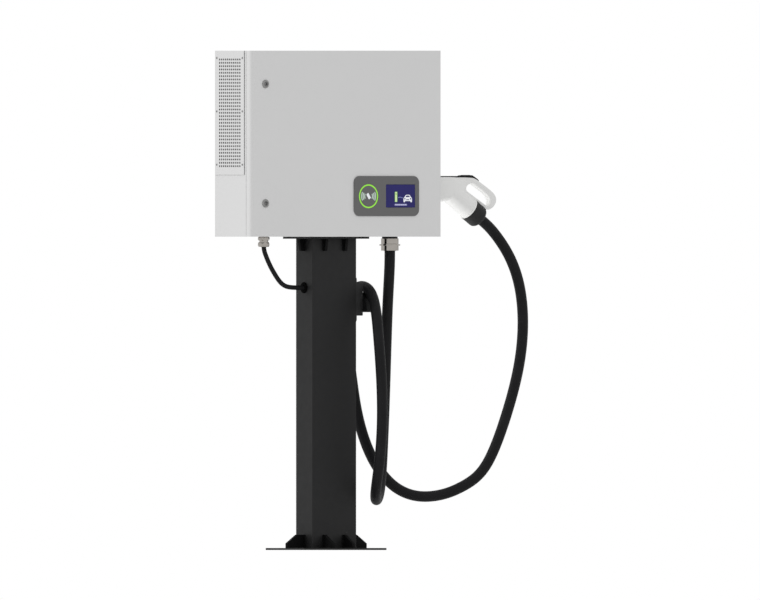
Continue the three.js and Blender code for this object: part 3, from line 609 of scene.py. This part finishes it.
def build_post():
    holes = [ring(sx * 132, sy * 74, 8, 24) for sx, sy in CORNERS]
    plate = slab([rounded(0, 0, 310, 192, 1, 3), ring(45, 0, 25, 40), *holes], "z", 0, 6, 0.3)
    stand_in(plate, "base_flange", "post", "black_paint")
    # the stiffeners and their weld seams wear a darker copy of the black paint: painted shade round the
    # pole's foot
    ribs = six_stiffeners(stiffener_outline(82.7, 30, 67, 5.5, 46, 20),
                          stiffener_outline(41.2, 5, 46, 5.5, 46, 20))
    finished(gather(*ribs), "base_stiffeners", "post", "shaded_black_paint", slot="black_paint")
    finished(seams(44, 7, (67, 46)), "base_weld_seams", "post", "shaded_black_paint", slot="black_paint", sharp=60)

    tube = slab([rounded(0, 0, 165, 82, 1.2, 4), rounded(0, 0, 157, 74, 1, 3)], "z", 5.95, 933.75)
    entry = lathe([(12, -95), (12, -70)], frame_matrix("x", 0, ENTRY_Z))
    stand_in(carve(tube, entry), "pole_tube", "post", "black_paint")

    bolts = [ring(sx * 96, sy * 55, 5.4, 20) for sx, sy in CORNERS]
    plate = slab([rounded(0, 0, 221, 138, 1, 3), *bolts], "z", 933.7, 939.9, 0.3)
    stand_in(plate, "top_flange", "post", "black_paint")
    # the head stiffeners and seams wear the same darker copy: painted shade under the top flange
    ribs = six_stiffeners(stiffener_outline(82.7, 14, 21, 934, 897, 925),
                          stiffener_outline(41.2, 8, 13, 934, 897, 925))
    finished(gather(*ribs), "head_stiffeners", "post", "shaded_black_paint", slot="black_paint")
    finished(seams(899, 932.5, (21, 13)), "head_weld_seams", "post", "shaded_black_paint", slot="black_paint",
             sharp=60)

    for n, (sx, sy) in enumerate(CORNERS, 1):
        at = frame_matrix("z", sx * 96, sy * 55)
        washer = lathe([(9.5, 942.8), (10, 943), (10, 944.4), (9.7, 944.6)], at)
        shank = lathe([(4.2, 934.3), (5, 935.3), (5, 943)], at, 24)
        bolt = gather(hexagon(18.8, 944.6, 950.8, 1.2, at), washer, shank)
        stand_in(bolt, f"cabinet_bolt_{n}", "post", "zinc_steel")


# -------- cabinet
def hood(z):
    """A pressed louvre: a shallow scoop that opens downwards."""
    rings = []
    for n in range(9):
        angle = math.radians(90 * n / 8)
        reach, rise = 4.4 * math.sin(angle), 9 * math.cos(angle)
        outer, inner = (SIDE - 0.6 + reach, z + rise), (SIDE - 1.4 + 0.8 * reach, z + 0.86 * rise)
        around = ((outer, -50), (outer, 62), (inner, 62), (inner, -50))
        rings.append([Vector((x, y, height)) for (x, height), y in around])
    return stacked(rings)


def build_shell():
    face, wall = SEAM + 1.5, 2.5
    shell = block(-SIDE, SIDE, face, REAR, BOTTOM, TOP, 0.5)
    inside = block(-SIDE + wall, SIDE - wall, face + wall, REAR - wall, BOTTOM + wall, TOP - wall)
    shell = carve(shell, inside)
    opening = rounded(0, 1219, 652, 494, 7)
    collar = slab([rounded(0, 1219, 656, 498, 9), opening], "y", face - 13, face + 1.0, 0.4)
    mouth = slab([opening], "y", face - 20, face + wall + 5)
    shell = weld(carve(shell, mouth), collar)
    tools = [block(-SIDE - 5, -SIDE + 5, -48, 63, 1142, 1481)]
    tools += [block(SIDE - 5, SIDE + 5, -50, 62, 1190 + 20 * n, 1199 + 20 * n) for n in range(14)]
    floor_holes = [(13.6, -237, GLAND_Y), (20.4, 237, GLAND_Y)]
    floor_holes += [(5.4, sx * 96, sy * 55) for sx, sy in CORNERS]
    tools += [lathe([(r, 930), (r, 950)], frame_matrix("z", x, y)) for r, x, y in floor_holes]
    shell = carve(shell, *tools)
    stand_in(shell, "cabinet_shell", "post", "white_paint")
    hoods = gather(*[hood(1190 + 20 * n) for n in range(14)])
    finished(hoods, "exhaust_hoods", "post", "white_paint", slot="white_paint", sharp=50)


def pan_head(matrix, radius=3.6, height=2.2):
    """A small screw head with a cross recess; local Z points out of the surface."""
    profile = [(1, 0), (1, 0.5), (0.93, 0.8), (0.7, 0.95), (0.35, 1)]
    head = lathe([(radius * r, height * z) for r, z in profile], Matrix.Identity(4), 28)
    size, slot = 0.55 * radius, 0.16 * radius
    crossed = [block(-u, u, -v, v, 0.45 * height, 2 * height) for u, v in ((size, slot), (slot, size))]
    return moved(carve(head, *crossed), matrix)


FACING_LEFT = Matrix(((0, 0, -1, 0), (1, 0, 0, 0), (0, -1, 0, 0), (0, 0, 0, 1)))
FACING_RIGHT = Matrix(((0, 0, 1, 0), (1, 0, 0, 0), (0, 1, 0, 0), (0, 0, 0, 1)))
FACING_FRONT = Matrix(((1, 0, 0, 0), (0, 0, -1, 0), (0, 1, 0, 0), (0, 0, 0, 1)))


def build_grille():
    outer = -SIDE - GAP - 2.3
    low, high, near, far = 1125.6, TOP, -67.7, 76.0
    middle = ((near + far) / 2, (low + high) / 2)
    holes = [ring(52.6 - 10 * column, 1151.5 + 10 * row, 3.2, 14)
             for column in range(11) for row in range(33)]
    sheet = slab([rounded(*middle, far - near, high - low, 1.0, 3), *holes], "x", outer, outer + 1.4, 0.2)
    stand_in(sheet, "grille_cover", "post", "white_paint", sharp=25)
    returns = slab([rounded(*middle, far - near - 0.2, high - low - 0.2, 0.9, 3),
                    rounded(*middle, far - near - 3, high - low - 3, 0.6, 3)], "x", outer + 1.3, -SIDE - 0.1)
    finished(returns, "grille_edge_return", "post", "white_paint")
    # painted shadow: a thin dark strip along the cover's front edge stands in for the shadow of the cover's
    # step
    shadow_strip = block(-SIDE - 0.9, -SIDE - 0.02, near - 0.6, near + 0.1, low, high, 0.15)
    finished(shadow_strip, "grille_edge_shadow_strip", "post", "gasket_foam_and_painted_shadow", slot="black_rubber")
    spots = [(y, z) for y in (66.5, -60.5) for z in (1476, 1316, 1156)]
    screws = gather(*[pan_head(shift(outer + 0.1, y, z) @ FACING_LEFT, 3.2, 1.3) for y, z in spots])
    finished(screws, "grille_screws", "post", "dark_steel", slot="zinc_steel")

    border = slab([rounded(7, 1311.5, 130, 359, 3), rounded(7, 1311.5, 112, 341, 2)], "x",
                  -355.2, -346.2, 0.6)
    bars = [block(-354.4, -352.6, -50, 64, z - 1.5, z + 1.5, 0.4) for z in (1230, 1311, 1393)]
    fleece = block(-352.4, -348, -50, 64, 1140, 1483, 0.5)
    finished(gather(border, *bars), "filter_frame", "post", "black_plastic")
    # the fleece's extra darkness is painted shade behind the grille holes
    stand_in(fleece, "dust_filter", "post", "filter_mat")


# -------- door
def door_section(inset, back):
    """The door's section: a soft bend on the lock side and a tight one on the hinge side."""
    side, face = SIDE - inset, FRONT + inset
    points = [(side, back), (-side, back)]
    for sign, radius, start in ((-1, max(7.5 - inset, 0.4), 180), (1, max(1 - inset, 0.4), 270)):
        points += arc(sign * (side - radius), face + radius, radius, start, start + 90, 12)
    return points


def build_door():
    sheet = 2.0
    pan = slab([door_section(0, SEAM)], "z", BOTTOM, TOP, 0.3)
    hollow = slab([door_section(sheet, SEAM + 5)], "z", BOTTOM + sheet, TOP - sheet)
    window = slab([rounded(152.5, 1061.8, 233, 108.3, 14)], "y", FRONT - 5, FRONT + 5)
    locks = [lathe([(10.3, FRONT - 5), (10.3, FRONT + 5)], frame_matrix("y", -301, z)) for z in (1398, 1040)]
    door = carve(pan, hollow, window, *locks)
    stand_in(door, "door_panel", "door", "white_paint")

    hat = [(0, 2.1), (6, 9), (34, 9), (40, 2.1), (37, 2.1), (32.6, 7.2), (7.4, 7.2), (3, 2.1)]
    ribs = [slab([[(x0 + u, FRONT + v) for u, v in hat]], "z", 1140, 1450) for x0 in (-180, 60)]
    finished(gather(*ribs), "door_stiffeners", "door", "white_paint")

    back, lip = FRONT + sheet + GAP, SEAM + 1.5 - 13 - GAP
    foam = slab([rounded(0, 1219, 672, 514, 10), rounded(0, 1219, 648, 490, 5)], "y", back, lip, 1.6)
    stand_in(foam, "door_gasket", "door", "gasket_foam_and_painted_shadow", slot="black_rubber", sharp=50)


def knuckle(low, high):
    at = frame_matrix("z", 365, SEAM)
    return lathe([(4.5, low), (5, low + 0.5), (5, high - 0.5), (4.5, high)], at, 36, bore=2.7)


def countersunk(matrix):
    return pan_head(matrix, 3.2, 1.3)


def build_hinge(label, z):
    low, high, third = z - 30, z + 30, 20
    side = SIDE + GAP
    frame_knuckle = knuckle(low + third + GAP, high - third - GAP)
    plate = slab([rounded((SEAM + 9 + SEAM + 34) / 2, z, 25, 60, 4)], "x", side, side + 2.2, 0.4)
    neck = slab([rounded((SEAM + 2.6 + SEAM + 14) / 2, z, 11.4, 19.4, 1)], "x", side, side + 2.7, 0.4)
    screws = [countersunk(shift(side + 2.1, SEAM + 22, z + dz) @ FACING_RIGHT) for dz in (-20, 0, 20)]
    leaf = gather(weld(frame_knuckle, plate, neck), *screws)
    stand_in(leaf, f"hinge_{label}_frame_leaf", "post", "white_paint")

    door_plate = slab([rounded(SEAM - 11, z, 8, 60, 1)], "x", side, side + 2.2, 0.4)
    necks = [slab([rounded(SEAM - 8.5, z + dz, 11.8, 19.8, 1)], "x", side, side + 2.7, 0.4)
             for dz in (-20, 20)]
    knuckles = [knuckle(low, low + third), knuckle(high - third, high)]
    screws = [countersunk(shift(side + 2.1, SEAM - 11, z + dz) @ FACING_RIGHT) for dz in (-23, 0, 23)]
    leaf = gather(weld(door_plate, *necks, *knuckles), *screws)
    stand_in(leaf, f"hinge_{label}_door_leaf", "door", "white_paint")

    pin = lathe([(2, low - 1.5), (2.5, low - 1), (2.5, high + 0.3), (4.2, high + 0.3), (4.2, high + 1.4),
                 (3.2, high + 2.5)], frame_matrix("z", 365, SEAM), 32)
    stand_in(pin, f"hinge_{label}_pin", "post", "zinc_steel")


def build_lock(label, z):
    at = shift(-301, FRONT, z) @ FACING_FRONT          # local Z points out of the door
    flange = lathe([(12.5, GAP), (12.5, 1.4), (11.6, 2.6), (8.4, 2.8)], at, 48, bore=7.2)
    barrel = lathe([(10, -22), (10, 0.4)], at, 48, bore=7.2)
    nut = hexagon(27, -8, -2.3, 1.2, at, bore=10.05)
    # the housing's darker nickel is partly painted shade
    stand_in(gather(flange, barrel, nut), f"lock_{label}_housing", "door", "shaded_lock_nickel",
             slot="nickel")
    well = lathe([(6.9, -27), (6.9, 1.6), (6.2, 2.2)], at, 40)
    well = carve(well, lathe([(4.9, -3), (5.1, 5)], at, 32))
    pin = lathe([(2.1, -8), (2.1, 1.2), (1.6, 1.8)], at, 24)
    bit = moved(block(-0.9, 0.9, -4.4, 4.4, -8, 0.6, 0.3), at)
    cam = slab([[(-7, -7), (7, -7), (8, -5), (8, 12), (6.5, 20), (6.5, 34), (3.5, 38), (-3.5, 38), (-6.5, 34),
                 (-6.5, 20), (-8, 12), (-8, -5)]], "y", FRONT + 26, FRONT + 29.5, 0.5)
    cam = moved(cam, shift(-301, 0, z))
    stand_in(gather(well, pin, bit, cam), f"lock_{label}_core", f"lock_{label}", "dark_steel",
             slot="zinc_steel")


# -------- operator panel
BEZEL_FACE = FRONT - GAP - 2.8
SCREEN_FACE = BEZEL_FACE + 1.0


def arc_band(cu, cv, inner, outer, start, stop, steps=14):
    return arc(cu, cv, inner, start, stop, steps) + arc(cu, cv, outer, stop, start, steps)


def tilted(points, cu, cv, degrees):
    c, s = math.cos(math.radians(degrees)), math.sin(math.radians(degrees))
    return [(cu + (u - cu) * c - (v - cv) * s, cv + (u - cu) * s + (v - cv) * c) for u, v in points]


def printed(name, outlines, look, face, thick=0.12):
    """Flat marks on the glass or the bezel. Each outline is a loop, or a loop with its holes."""
    parts = []
    for loops in outlines:
        parts.append(slab(loops, "y", face - thick, face))
    piece = gather(*parts)
    slot = {"wave_grey": "bezel_plastic"}.get(look, "white_plastic")
    return finished(piece, name, "door", look, slot=slot)


def build_panel():
    face = FRONT - GAP
    edge = rounded(152.5, 1061.8, 245, 120.3, 20, 12)
    window = rounded(205, 1062, 109.4, 69.4, 3, 6)
    plate = slab([edge, window], "y", BEZEL_FACE, face, 0.9)
    rim = slab([rounded(152.5, 1061.8, 231, 106.5, 14), rounded(152.5, 1061.8, 226.5, 102, 11.5)], "y",
               face - 0.5, face + 9)
    centre = (84.5, 1061.3)
    groove = slab([ring(*centre, 36.3, 64), ring(*centre, 31.3, 64)], "y", BEZEL_FACE - 2, BEZEL_FACE + 1.5)
    stand_in(gather(carve(plate, groove), rim), "display_bezel", "door", "bezel_plastic")
    halo = slab([ring(*centre, 35.9, 96), ring(*centre, 31.6, 96)], "y",
                BEZEL_FACE - 0.1, BEZEL_FACE + 1.4, 0.3)
    stand_in(halo, "reader_ring", "door", "green_plastic")
    glass = slab([rounded(205, 1062, 108.6, 68.6, 2.7, 6)], "y", SCREEN_FACE, SCREEN_FACE + 2.4, 0.2)
    stand_in(glass, "display_screen", "door", "screen")

    card = tilted(rounded(84.6, 1061.6, 9, 18, 1.6, 4), 84.6, 1061.6, 33)
    printed("reader_card_mark", [[card]], "icon_white", BEZEL_FACE)
    waves = [[arc_band(*centre, radius, radius + 3.6, side - 29, side + 29)]
             for side in (0, 180) for radius in (12.8, 18.5, 24.2)]
    printed("reader_waves", waves, "wave_grey", BEZEL_FACE)

    charger = rounded(188.6, 1059.4, 9.6, 31, 1.4, 4)
    printed("screen_charger_edge", [[charger]], "icon_green", SCREEN_FACE)
    core = rounded(188.6, 1059.4, 6.2, 29.2, 0.8, 3)
    slot_mark = rounded(188.6, 1067.6, 3.4, 5.0, 0.7, 3)
    printed("screen_charger_mark", [[core, slot_mark]], "icon_lime", SCREEN_FACE - 0.1)
    cord_mark = [(196, 1055.8), (203, 1057.6), (208, 1056.4), (214, 1055.2), (214, 1057.4), (208, 1058.8),
                 (203, 1060.0), (196, 1058.2)]
    printed("screen_cord_mark", [[cord_mark]], "icon_blue", SCREEN_FACE)
    half = [(227.3, 1065.6), (224.0, 1063.8), (220.2, 1058.6), (217.1, 1055.8), (216.2, 1051.2),
            (216.9, 1043.4), (221.9, 1043.4), (222.6, 1046.8)]
    body = half + [(2 * 232.4 - u, v) for u, v in reversed(half)]
    glass_mark = [(224.2, 1058.8), (240.6, 1058.8), (238.0, 1062.6), (236.4, 1063.4), (228.4, 1063.4),
                  (226.9, 1062.6)]
    lamps = [ring(221.6, 1053.6, 2.3, 14), ring(243.2, 1053.6, 2.3, 14)]
    grille = rounded(232.4, 1050.9, 11.6, 2.2, 0.8, 3)
    printed("screen_car_mark", [[body, glass_mark, *lamps, grille]], "icon_white", SCREEN_FACE)
    frame_mark = [rounded(206.3, 1035.8, 47.2, 4.6, 2.1, 5), rounded(206.3, 1035.8, 45.8, 3.2, 1.4, 5)]
    cells = [[rounded(188.0 + 7.3 * n, 1035.8, 6.5, 2.8, 0.7, 3)] for n in range(6)]
    printed("screen_progress_bar", [frame_mark, *cells], "icon_pale", SCREEN_FACE)

    back = face + 1.2
    holes = [ring(156 + sx * 101, 1061.5 + sz * 34, 1.7, 14) for sx, sz in CORNERS]
    board = slab([rounded(156, 1061.5, 210, 77, 2, 4), *holes], "y", back + 2.5, back + 4.1)
    stand_in(board, "operator_board", "door", "circuit_board")
    dark = [block(152, 258, back, back + 2.6, 1029, 1094, 0.3),
            block(178, 214, back + 4, back + 12, 1036, 1049, 0.5),
            block(220, 244, back + 4, back + 7, 1061, 1085, 0.4),
            block(68, 80, back + 4, back + 6, 1040, 1052, 0.3)]
    dark += [block(100 + 9 * n, 105 + 9 * n, back + 4, back + 5.6, 1078, 1086, 0.3) for n in range(5)]
    can = [(4, back + 4), (4, back + 11), (3.4, back + 11.6)]
    dark += [lathe(can, frame_matrix("y", 134 + 12 * n, 1038), 24) for n in range(3)]
    finished(gather(*dark), "operator_board_parts", "door", "black_plastic")


# -------- glands and grommet
FLOOR = BOTTOM + 2.5 + GAP         # top of the cabinet's floor sheet


def gland_thread(neck, bore, end, at):
    """The thread that stands up through the floor, and the plain lower end that the nut runs on."""
    turns = [(neck - (0.6 if n % 2 else 0.0), FLOOR + 11 - 0.75 * n) for n in range(21)]
    plain = [(neck, end), (neck, FLOOR - 2)]
    return [lathe(profile, at, 48, bore=bore) for profile in (turns[::-1], plain)]


def gland_locknut(name, neck, at):
    nut = hexagon(2 * neck + 14, FLOOR, FLOOR + 6, 1.2, at, bore=neck + 0.2, spin=0.35)
    stand_in(nut, f"{name}_locknut", "post", "nickel")


def build_charge_gland():
    at = frame_matrix("z", 237, GLAND_Y)
    neck, bore, foot = 20, 16.6, 898
    body = lathe([(26.1, 918.2), (26.7, 918.8), (26.7, 934.0), (26.1, 934.6)], at, 72, bore=bore)
    stand_in(gather(body, *gland_thread(neck, bore, 906.7, at)), "charge_gland_body", "post", "nickel")
    washer = lathe([(23.5, 934.6), (23.5, 939.9)], at, 64, bore=neck + 0.2)
    finished(washer, "charge_gland_washer", "post", "black_rubber")
    gland_locknut("charge_gland", neck, at)
    shape = [(25.2, foot), (26.3, foot + 0.3), (26.7, foot + 1.2), (26.7, 913), (31.1, 913), (31.5, 913.4),
             (31.5, 917.1), (31.1, 917.5), (26.7, 917.5), (26.7, 918.0)]
    inside = [(neck + 0.2, 918.0), (neck + 0.2, 906.4), (bore, 906.4), (bore, foot)]
    stand_in(lathe(shape, at, 72, inside=inside), "charge_gland_nut", "post", "nickel")
    seal = lathe([(18.2, foot - 0.8), (19, foot + 1)], at, 48, bore=16.2)
    finished(seal, "charge_gland_seal", "post", "black_rubber")


def build_supply_gland():
    at = frame_matrix("z", -237, GLAND_Y)
    neck, bore, foot = 13.2, 7.8, 909.4
    body = hexagon(36.6, 928.3, 939.7, 1.8, at, bore=bore, spin=0.35)
    stand_in(gather(body, *gland_thread(neck, bore, 915.7, at)), "supply_gland_body", "post", "nickel")
    gland_locknut("supply_gland", neck, at)
    grip = hexagon(36.6, foot, 924, 4.2, at, bore=neck + 0.2, spin=0.35)
    mouth = lathe([(13.0, foot + 0.1), (13.1, foot + 5.8)], at, 48, bore=bore)
    stand_in(gather(grip, mouth), "supply_gland_nut", "post", "nickel")
    seal = lathe([(9.2, foot - 0.8), (10.2, foot + 1)], at, 48, bore=7.2)
    finished(seal, "supply_gland_seal", "post", "black_rubber")


def build_grommet():
    wall = -82.5
    profile = [(9.4, wall - 4.4), (12.5, wall - 4.1), (15.6, wall - 3.2), (16.7, wall - 2), (16.8, wall - 1),
               (16.4, wall - 0.3), (11.7, wall - 0.3), (11.7, wall + 4.3), (15, wall + 4.3), (14.6, wall + 6),
               (13, wall + 7)]
    grommet = lathe(profile, frame_matrix("x", 0, ENTRY_Z), 48, bore=7.3)
    # the grommet wears a near-black copy of the rubber: painted shade
    stand_in(grommet, "pole_grommet", "post", "grommet_painted_shade", slot="black_rubber", sharp=50)


# -------- cable hook
def build_hook():
    wall = 82.8
    flange = slab([rounded(0, 751.5, 77, 137, 9, 8), ring(0, 693, 4.5, 20), ring(0, 811, 4.5, 20)], "x",
                  wall, wall + 4, 0.8)
    arm = block(wall + 3, 110.5, -38, 38, 703, 802.5, 2.2, 3)
    arm = carve(arm, block(wall + 9, 104.5, -32, 32, 690, 796.5, 1.5))
    drum = slab([arc(0, 715.5, 58, 0, 180, 45) + [(-58, 713.5), (58, 713.5)]], "x", 109, 158, 1.6)
    drum = carve(drum, slab([arc(0, 714, 52, 0, 180, 45) + [(-52, 700), (52, 700)]], "x", 115.5, 154))
    ribs = [block(115, 155, y - 1.4, y + 1.4, 716, 764 - abs(y) * 0.25, 0.3) for y in (-26, 0, 26)]
    lip = slab([rounded(0, 751.3, 40, 71.5, 6, 8)], "x", 157, 161.5, 1.4)
    # the arm wears a lighter copy of the black plastic: painted light against the cable's shade
    finished(weld(flange, arm), "hook_arm", "post", "painted_light_arm", slot="black_plastic")
    stand_in(weld(drum, lip, *ribs), "cable_hook", "post", "black_plastic")
    for label, z in (("lower", 693), ("upper", 811)):
        at = shift(wall + 4.2, 0, z) @ FACING_RIGHT
        head = lathe([(7.5, 0), (7.5, 1.2), (6.8, 2.8), (5.2, 3.9), (3.4, 4.3)], at, 40)
        socket = hexagon(5.8, 1.6, 6, 0.1, at)
        shank = lathe([(4, -18), (4, 0.5)], at, 24)
        stand_in(gather(carve(head, socket), shank), f"hook_screw_{label}", "post", "zinc_steel")


# -------- holster and connector
GUN_SEAM = Vector((529.6, MID_Y, 1023.0))
GUN_SLOPE = math.radians(34)
GUN_AXIS = Matrix.Translation(GUN_SEAM) @ Matrix.Rotation(math.radians(90) + GUN_SLOPE, 4, "Y")
GRIP_OUTER = [
    (459, 1062), (459, 1118), (480, 1118.5), (538, 1117.5), (550, 1113.5), (561, 1107), (592, 1088.5),
    (612, 1075), (620.5, 1067.5), (625.5, 1059.5), (627.3, 1051), (625.5, 1041.5), (620, 1033),
    (612.5, 1026.2), (604, 1021.5), (596.5, 1020.5), (590, 1023), (573, 1035), (554, 1045), (540, 1037),
    (500, 1037),
]
GRIP_HOLE = [
    (513.5, 1083), (514.5, 1089), (520, 1095), (528, 1098.8), (535, 1099), (542, 1096.2), (559, 1086),
    (575, 1076.3), (590, 1066), (597.5, 1058.5), (601, 1050.5), (602, 1042), (600, 1035), (596.5, 1031.5),
    (591.5, 1032), (580, 1039.5), (565, 1048.5), (540, 1063), (523, 1073.5), (515.5, 1078),
]


def softened(points, rounds=2):
    """Rounds an outline by cutting its corners."""
    for _ in range(rounds):
        cut = []
        for n, (u, v) in enumerate(points):
            u2, v2 = points[(n + 1) % len(points)]
            cut += [(near * u + (1 - near) * u2, near * v + (1 - near) * v2) for near in (0.75, 0.25)]
        points = cut
    return points


def head_section(x, width, low, high, radius):
    middle = (low + high) / 2
    return [Vector((x, MID_Y + u, middle + v)) for u, v in rounded(0, 0, width, high - low, radius, 8)]


def build_shell_halves():
    head = stacked([head_section(394, 60, 1044.5, 1118.5, 16), head_section(430, 60, 1045, 1119, 20),
                    head_section(458, 58, 1050, 1119.2, 22), head_section(478, 50, 1058, 1118.6, 21),
                    head_section(496, 38, 1064, 1118, 17), head_section(509, 27, 1068, 1117, 12)])
    barrel = lathe([(20, -118), (26, -108), (28.8, -96), (30.4, -70), (31.4, -35), (31.9, -12),
                    (32.2, -1)], GUN_AXIS, 64)
    grip = slab([softened(GRIP_OUTER), softened(GRIP_HOLE)], "y", MID_Y - 12.5, MID_Y + 12.5, 4.5)
    shell = gather(head, barrel, grip)
    remesh = shell.modifiers.new("remesh", "REMESH")
    remesh.mode = "VOXEL"
    remesh.voxel_size = 1.3
    smooth = shell.modifiers.new("smooth", "SMOOTH")
    smooth.factor = 0.5
    smooth.iterations = 18
    settle(shell)
    strip_room = block(390, 489.6, MID_Y - 9.3, MID_Y + 9.3, 1113.4, 1130)
    button_room = slab([[(490, 1111.5), (528, 1111.5), (557, 1095), (569, 1103.5), (567.5, 1113),
                         (538, 1127), (490, 1127)]], "y",
                       MID_Y - 7.6, MID_Y + 7.6)
    boot_room = lathe([(35, -0.8), (35, 90)], GUN_AXIS, 48)
    nose_room = lathe([(25.4, 390), (25.4, 416)], frame_matrix("x", MID_Y, 1082))
    face_cut = block(380, 398, -80, 60, 1000, 1150)
    shell = carve(shell, strip_room, button_room, boot_room, nose_room, face_cut)
    halves = {"front": (-80, MID_Y - 0.2), "rear": (MID_Y + 0.2, 60)}
    for label, (y0, y1) in halves.items():
        half = combine("INTERSECT", copied(shell), [block(380, 660, y0, y1, 940, 1160)])
        stand_in(half, f"gun_shell_{label}", "gun", "white_plastic", sharp=40)
    bpy.data.objects.remove(shell)


def build_gun():
    build_shell_halves()
    collar = lathe([(32.4, -3.2), (34.4, -2.6), (34.8, -1.4), (34.2, -0.3)], GUN_AXIS, 72, bore=30)
    finished(collar, "gun_collar_ring", "gun", "collar_white", slot="white_plastic", sharp=50)
    strip = slab([rounded(MID_Y, 1118, 18.4, 8, 2.4, 5)], "x", 399, 489, 0.6)
    stand_in(strip, "gun_top_strip", "gun", "black_plastic")
    outline = softened([(491, 1116.4), (534, 1116.4), (560, 1103), (565, 1109.5), (541, 1123.6),
                        (535, 1124.8), (498, 1124.8), (491, 1122)], 1)
    button = slab([outline], "y", MID_Y - 7.2, MID_Y + 7.2, 1.2)
    ridges = [block(505 + 5 * n, 507 + 5 * n, MID_Y - 5, MID_Y + 5, 1124.2, 1125.2, 0.4) for n in range(6)]
    stand_in(weld(button, *ridges), "gun_button", "button", "black_plastic")

    profile = [(34.2, 0), (34.8, 0.8), (34.8, 3), (34.2, 4.2), (34.2, 38), (33.4, 42), (31, 45.6),
               (27, 48.8), (22.6, 51.4), (20.2, 53.4), (19.4, 54.4)]
    boot = lathe(profile, GUN_AXIS, 72)
    boot = carve(boot, lathe([(16.9, 34), (16.9, 60)], GUN_AXIS, 48))
    stand_in(boot, "gun_boot", "gun", "boot_rubber", slot="black_rubber", sharp=50)

    at = frame_matrix("x", MID_Y, 1082)
    skirt = lathe([(29, 371), (29.5, 371.6), (29.5, 397.4), (29, 397.7)], at, 64)
    skirt = carve(skirt, lathe([(26.5, 360), (26.5, 383)], at, 64))
    plug = lathe([(25, 397), (25, 415)], at, 48)
    pins = []
    for n in range(6):
        angle = n * math.pi / 3
        spot = frame_matrix("x", MID_Y + 15 * math.cos(angle), 1082 + 15 * math.sin(angle))
        radius = 6.5 if n % 3 == 0 else 4.5
        profile = [(radius - 0.5, 374), (radius, 374.5), (radius, 384)]
        pins.append(lathe(profile, spot, 28, bore=radius * 0.55))
    stand_in(gather(skirt, plug, *pins), "gun_nose", "gun", "black_plastic")

    screws = [pan_head(shift(x, MID_Y + depth, z) @ FACING_FRONT @ Matrix.Rotation(math.pi, 4, "X"), 2.6, 1.2)
              for x, z, depth in ((424, 1104, 29.4), (424, 1058, 29.4), (616, 1050, 11.9), (597, 1027, 11.4))]
    finished(gather(*screws), "gun_shell_screws", "gun", "zinc_steel")


def build_holster():
    side = SIDE + GAP
    at = frame_matrix("x", MID_Y, 1082)
    flange = slab([rounded(MID_Y, 1082, 92, 92, 14), ring(MID_Y, 1082, 30.3, 64)], "x", side, side + 4, 0.9)
    cup = lathe([(35, side + 2), (35, 392), (36, 393), (36, 394.4), (35.2, 395)], at, 72, bore=30.3)
    floor = lathe([(30.6, side), (30.6, side + 3)], at, 64)
    stand_in(gather(weld(flange, cup), floor), "holster_socket", "post", "black_plastic")
    screws = [pan_head(shift(side + 3.9, MID_Y + sy * 37, 1082 + sz * 37) @ FACING_RIGHT)
              for sy, sz in CORNERS]
    finished(gather(*screws), "holster_screws", "post", "zinc_steel")


build_post()
build_shell()
build_grille()
build_door()
build_hinge("upper", 1440)
build_hinge("lower", 995)
build_lock("upper", 1398)
build_lock("lower", 1040)
build_panel()
build_charge_gland()
build_supply_gland()
build_grommet()
build_hook()
build_holster()
build_gun()

# -------- carried-over CAD nodes
slots = {row["node"]: row["material_slot"] for row in frame["record"]["subparts"]}
for node, piece in frame["nodes"].items():
    look = LOOKS.get(slots[node])
    if look:
        for slot_place in piece.material_slots:
            slot_place.material = look

# -------- studio
floor_mesh = bpy.data.meshes.new("floor")
floor_mesh.from_pydata([(-12, -12, 0), (12, -12, 0), (12, 12, 0), (-12, 12, 0)], [], [(0, 1, 2, 3)])
floor = placed("floor", floor_mesh)
floor_mesh.materials.append(surface("floor_pale", (0.82, 0.82, 0.82), 0.8, vary=0.01, blotch=1.0, grain=60))


def lamp(name, kind, energy, direction, **settings):
    data = bpy.data.lights.new(name, kind)
    data.energy = energy
    for key, value in settings.items():
        setattr(data, key, value)
    made = placed(name, data)
    made.rotation_mode = "QUATERNION"
    made.rotation_quaternion = Vector(direction).to_track_quat("-Z", "Y")
    return made


lamp("key", "SUN", 0.75, (0.80, -0.30, -0.50), angle=math.radians(35))

# a soft lamp from below that brightens the connector's underside, as a pale studio floor would
REFLECTOR_AT, REFLECTOR_AIM = Vector((0.18, 0.14, 0.57)), Vector((0.51, 0, 1.06))
reflector = lamp("reflector", "SPOT", 7.8, REFLECTOR_AIM - REFLECTOR_AT, spot_size=math.radians(26),
                 spot_blend=0.3, shadow_soft_size=0.05, use_shadow=False)
reflector.location = REFLECTOR_AT
reflector.visible_camera = False

world = bpy.data.worlds.new("studio")
world.use_nodes = True
nodes, links = world.node_tree.nodes, world.node_tree.links
ambient, seen = nodes["Background"], nodes.new("ShaderNodeBackground")
for background, strength in ((ambient, 0.82), (seen, 1.0)):
    background.inputs["Color"].default_value = (1, 1, 1, 1)
    background.inputs["Strength"].default_value = strength
choice = nodes.new("ShaderNodeMixShader")
ray = nodes.new("ShaderNodeLightPath")
links.new(ray.outputs["Is Camera Ray"], choice.inputs["Fac"])
links.new(ambient.outputs["Background"], choice.inputs[1])
links.new(seen.outputs["Background"], choice.inputs[2])
links.new(choice.outputs["Shader"], nodes["World Output"].inputs["Surface"])
bpy.context.scene.world = world
bpy.context.scene.view_settings.view_transform = "Standard"
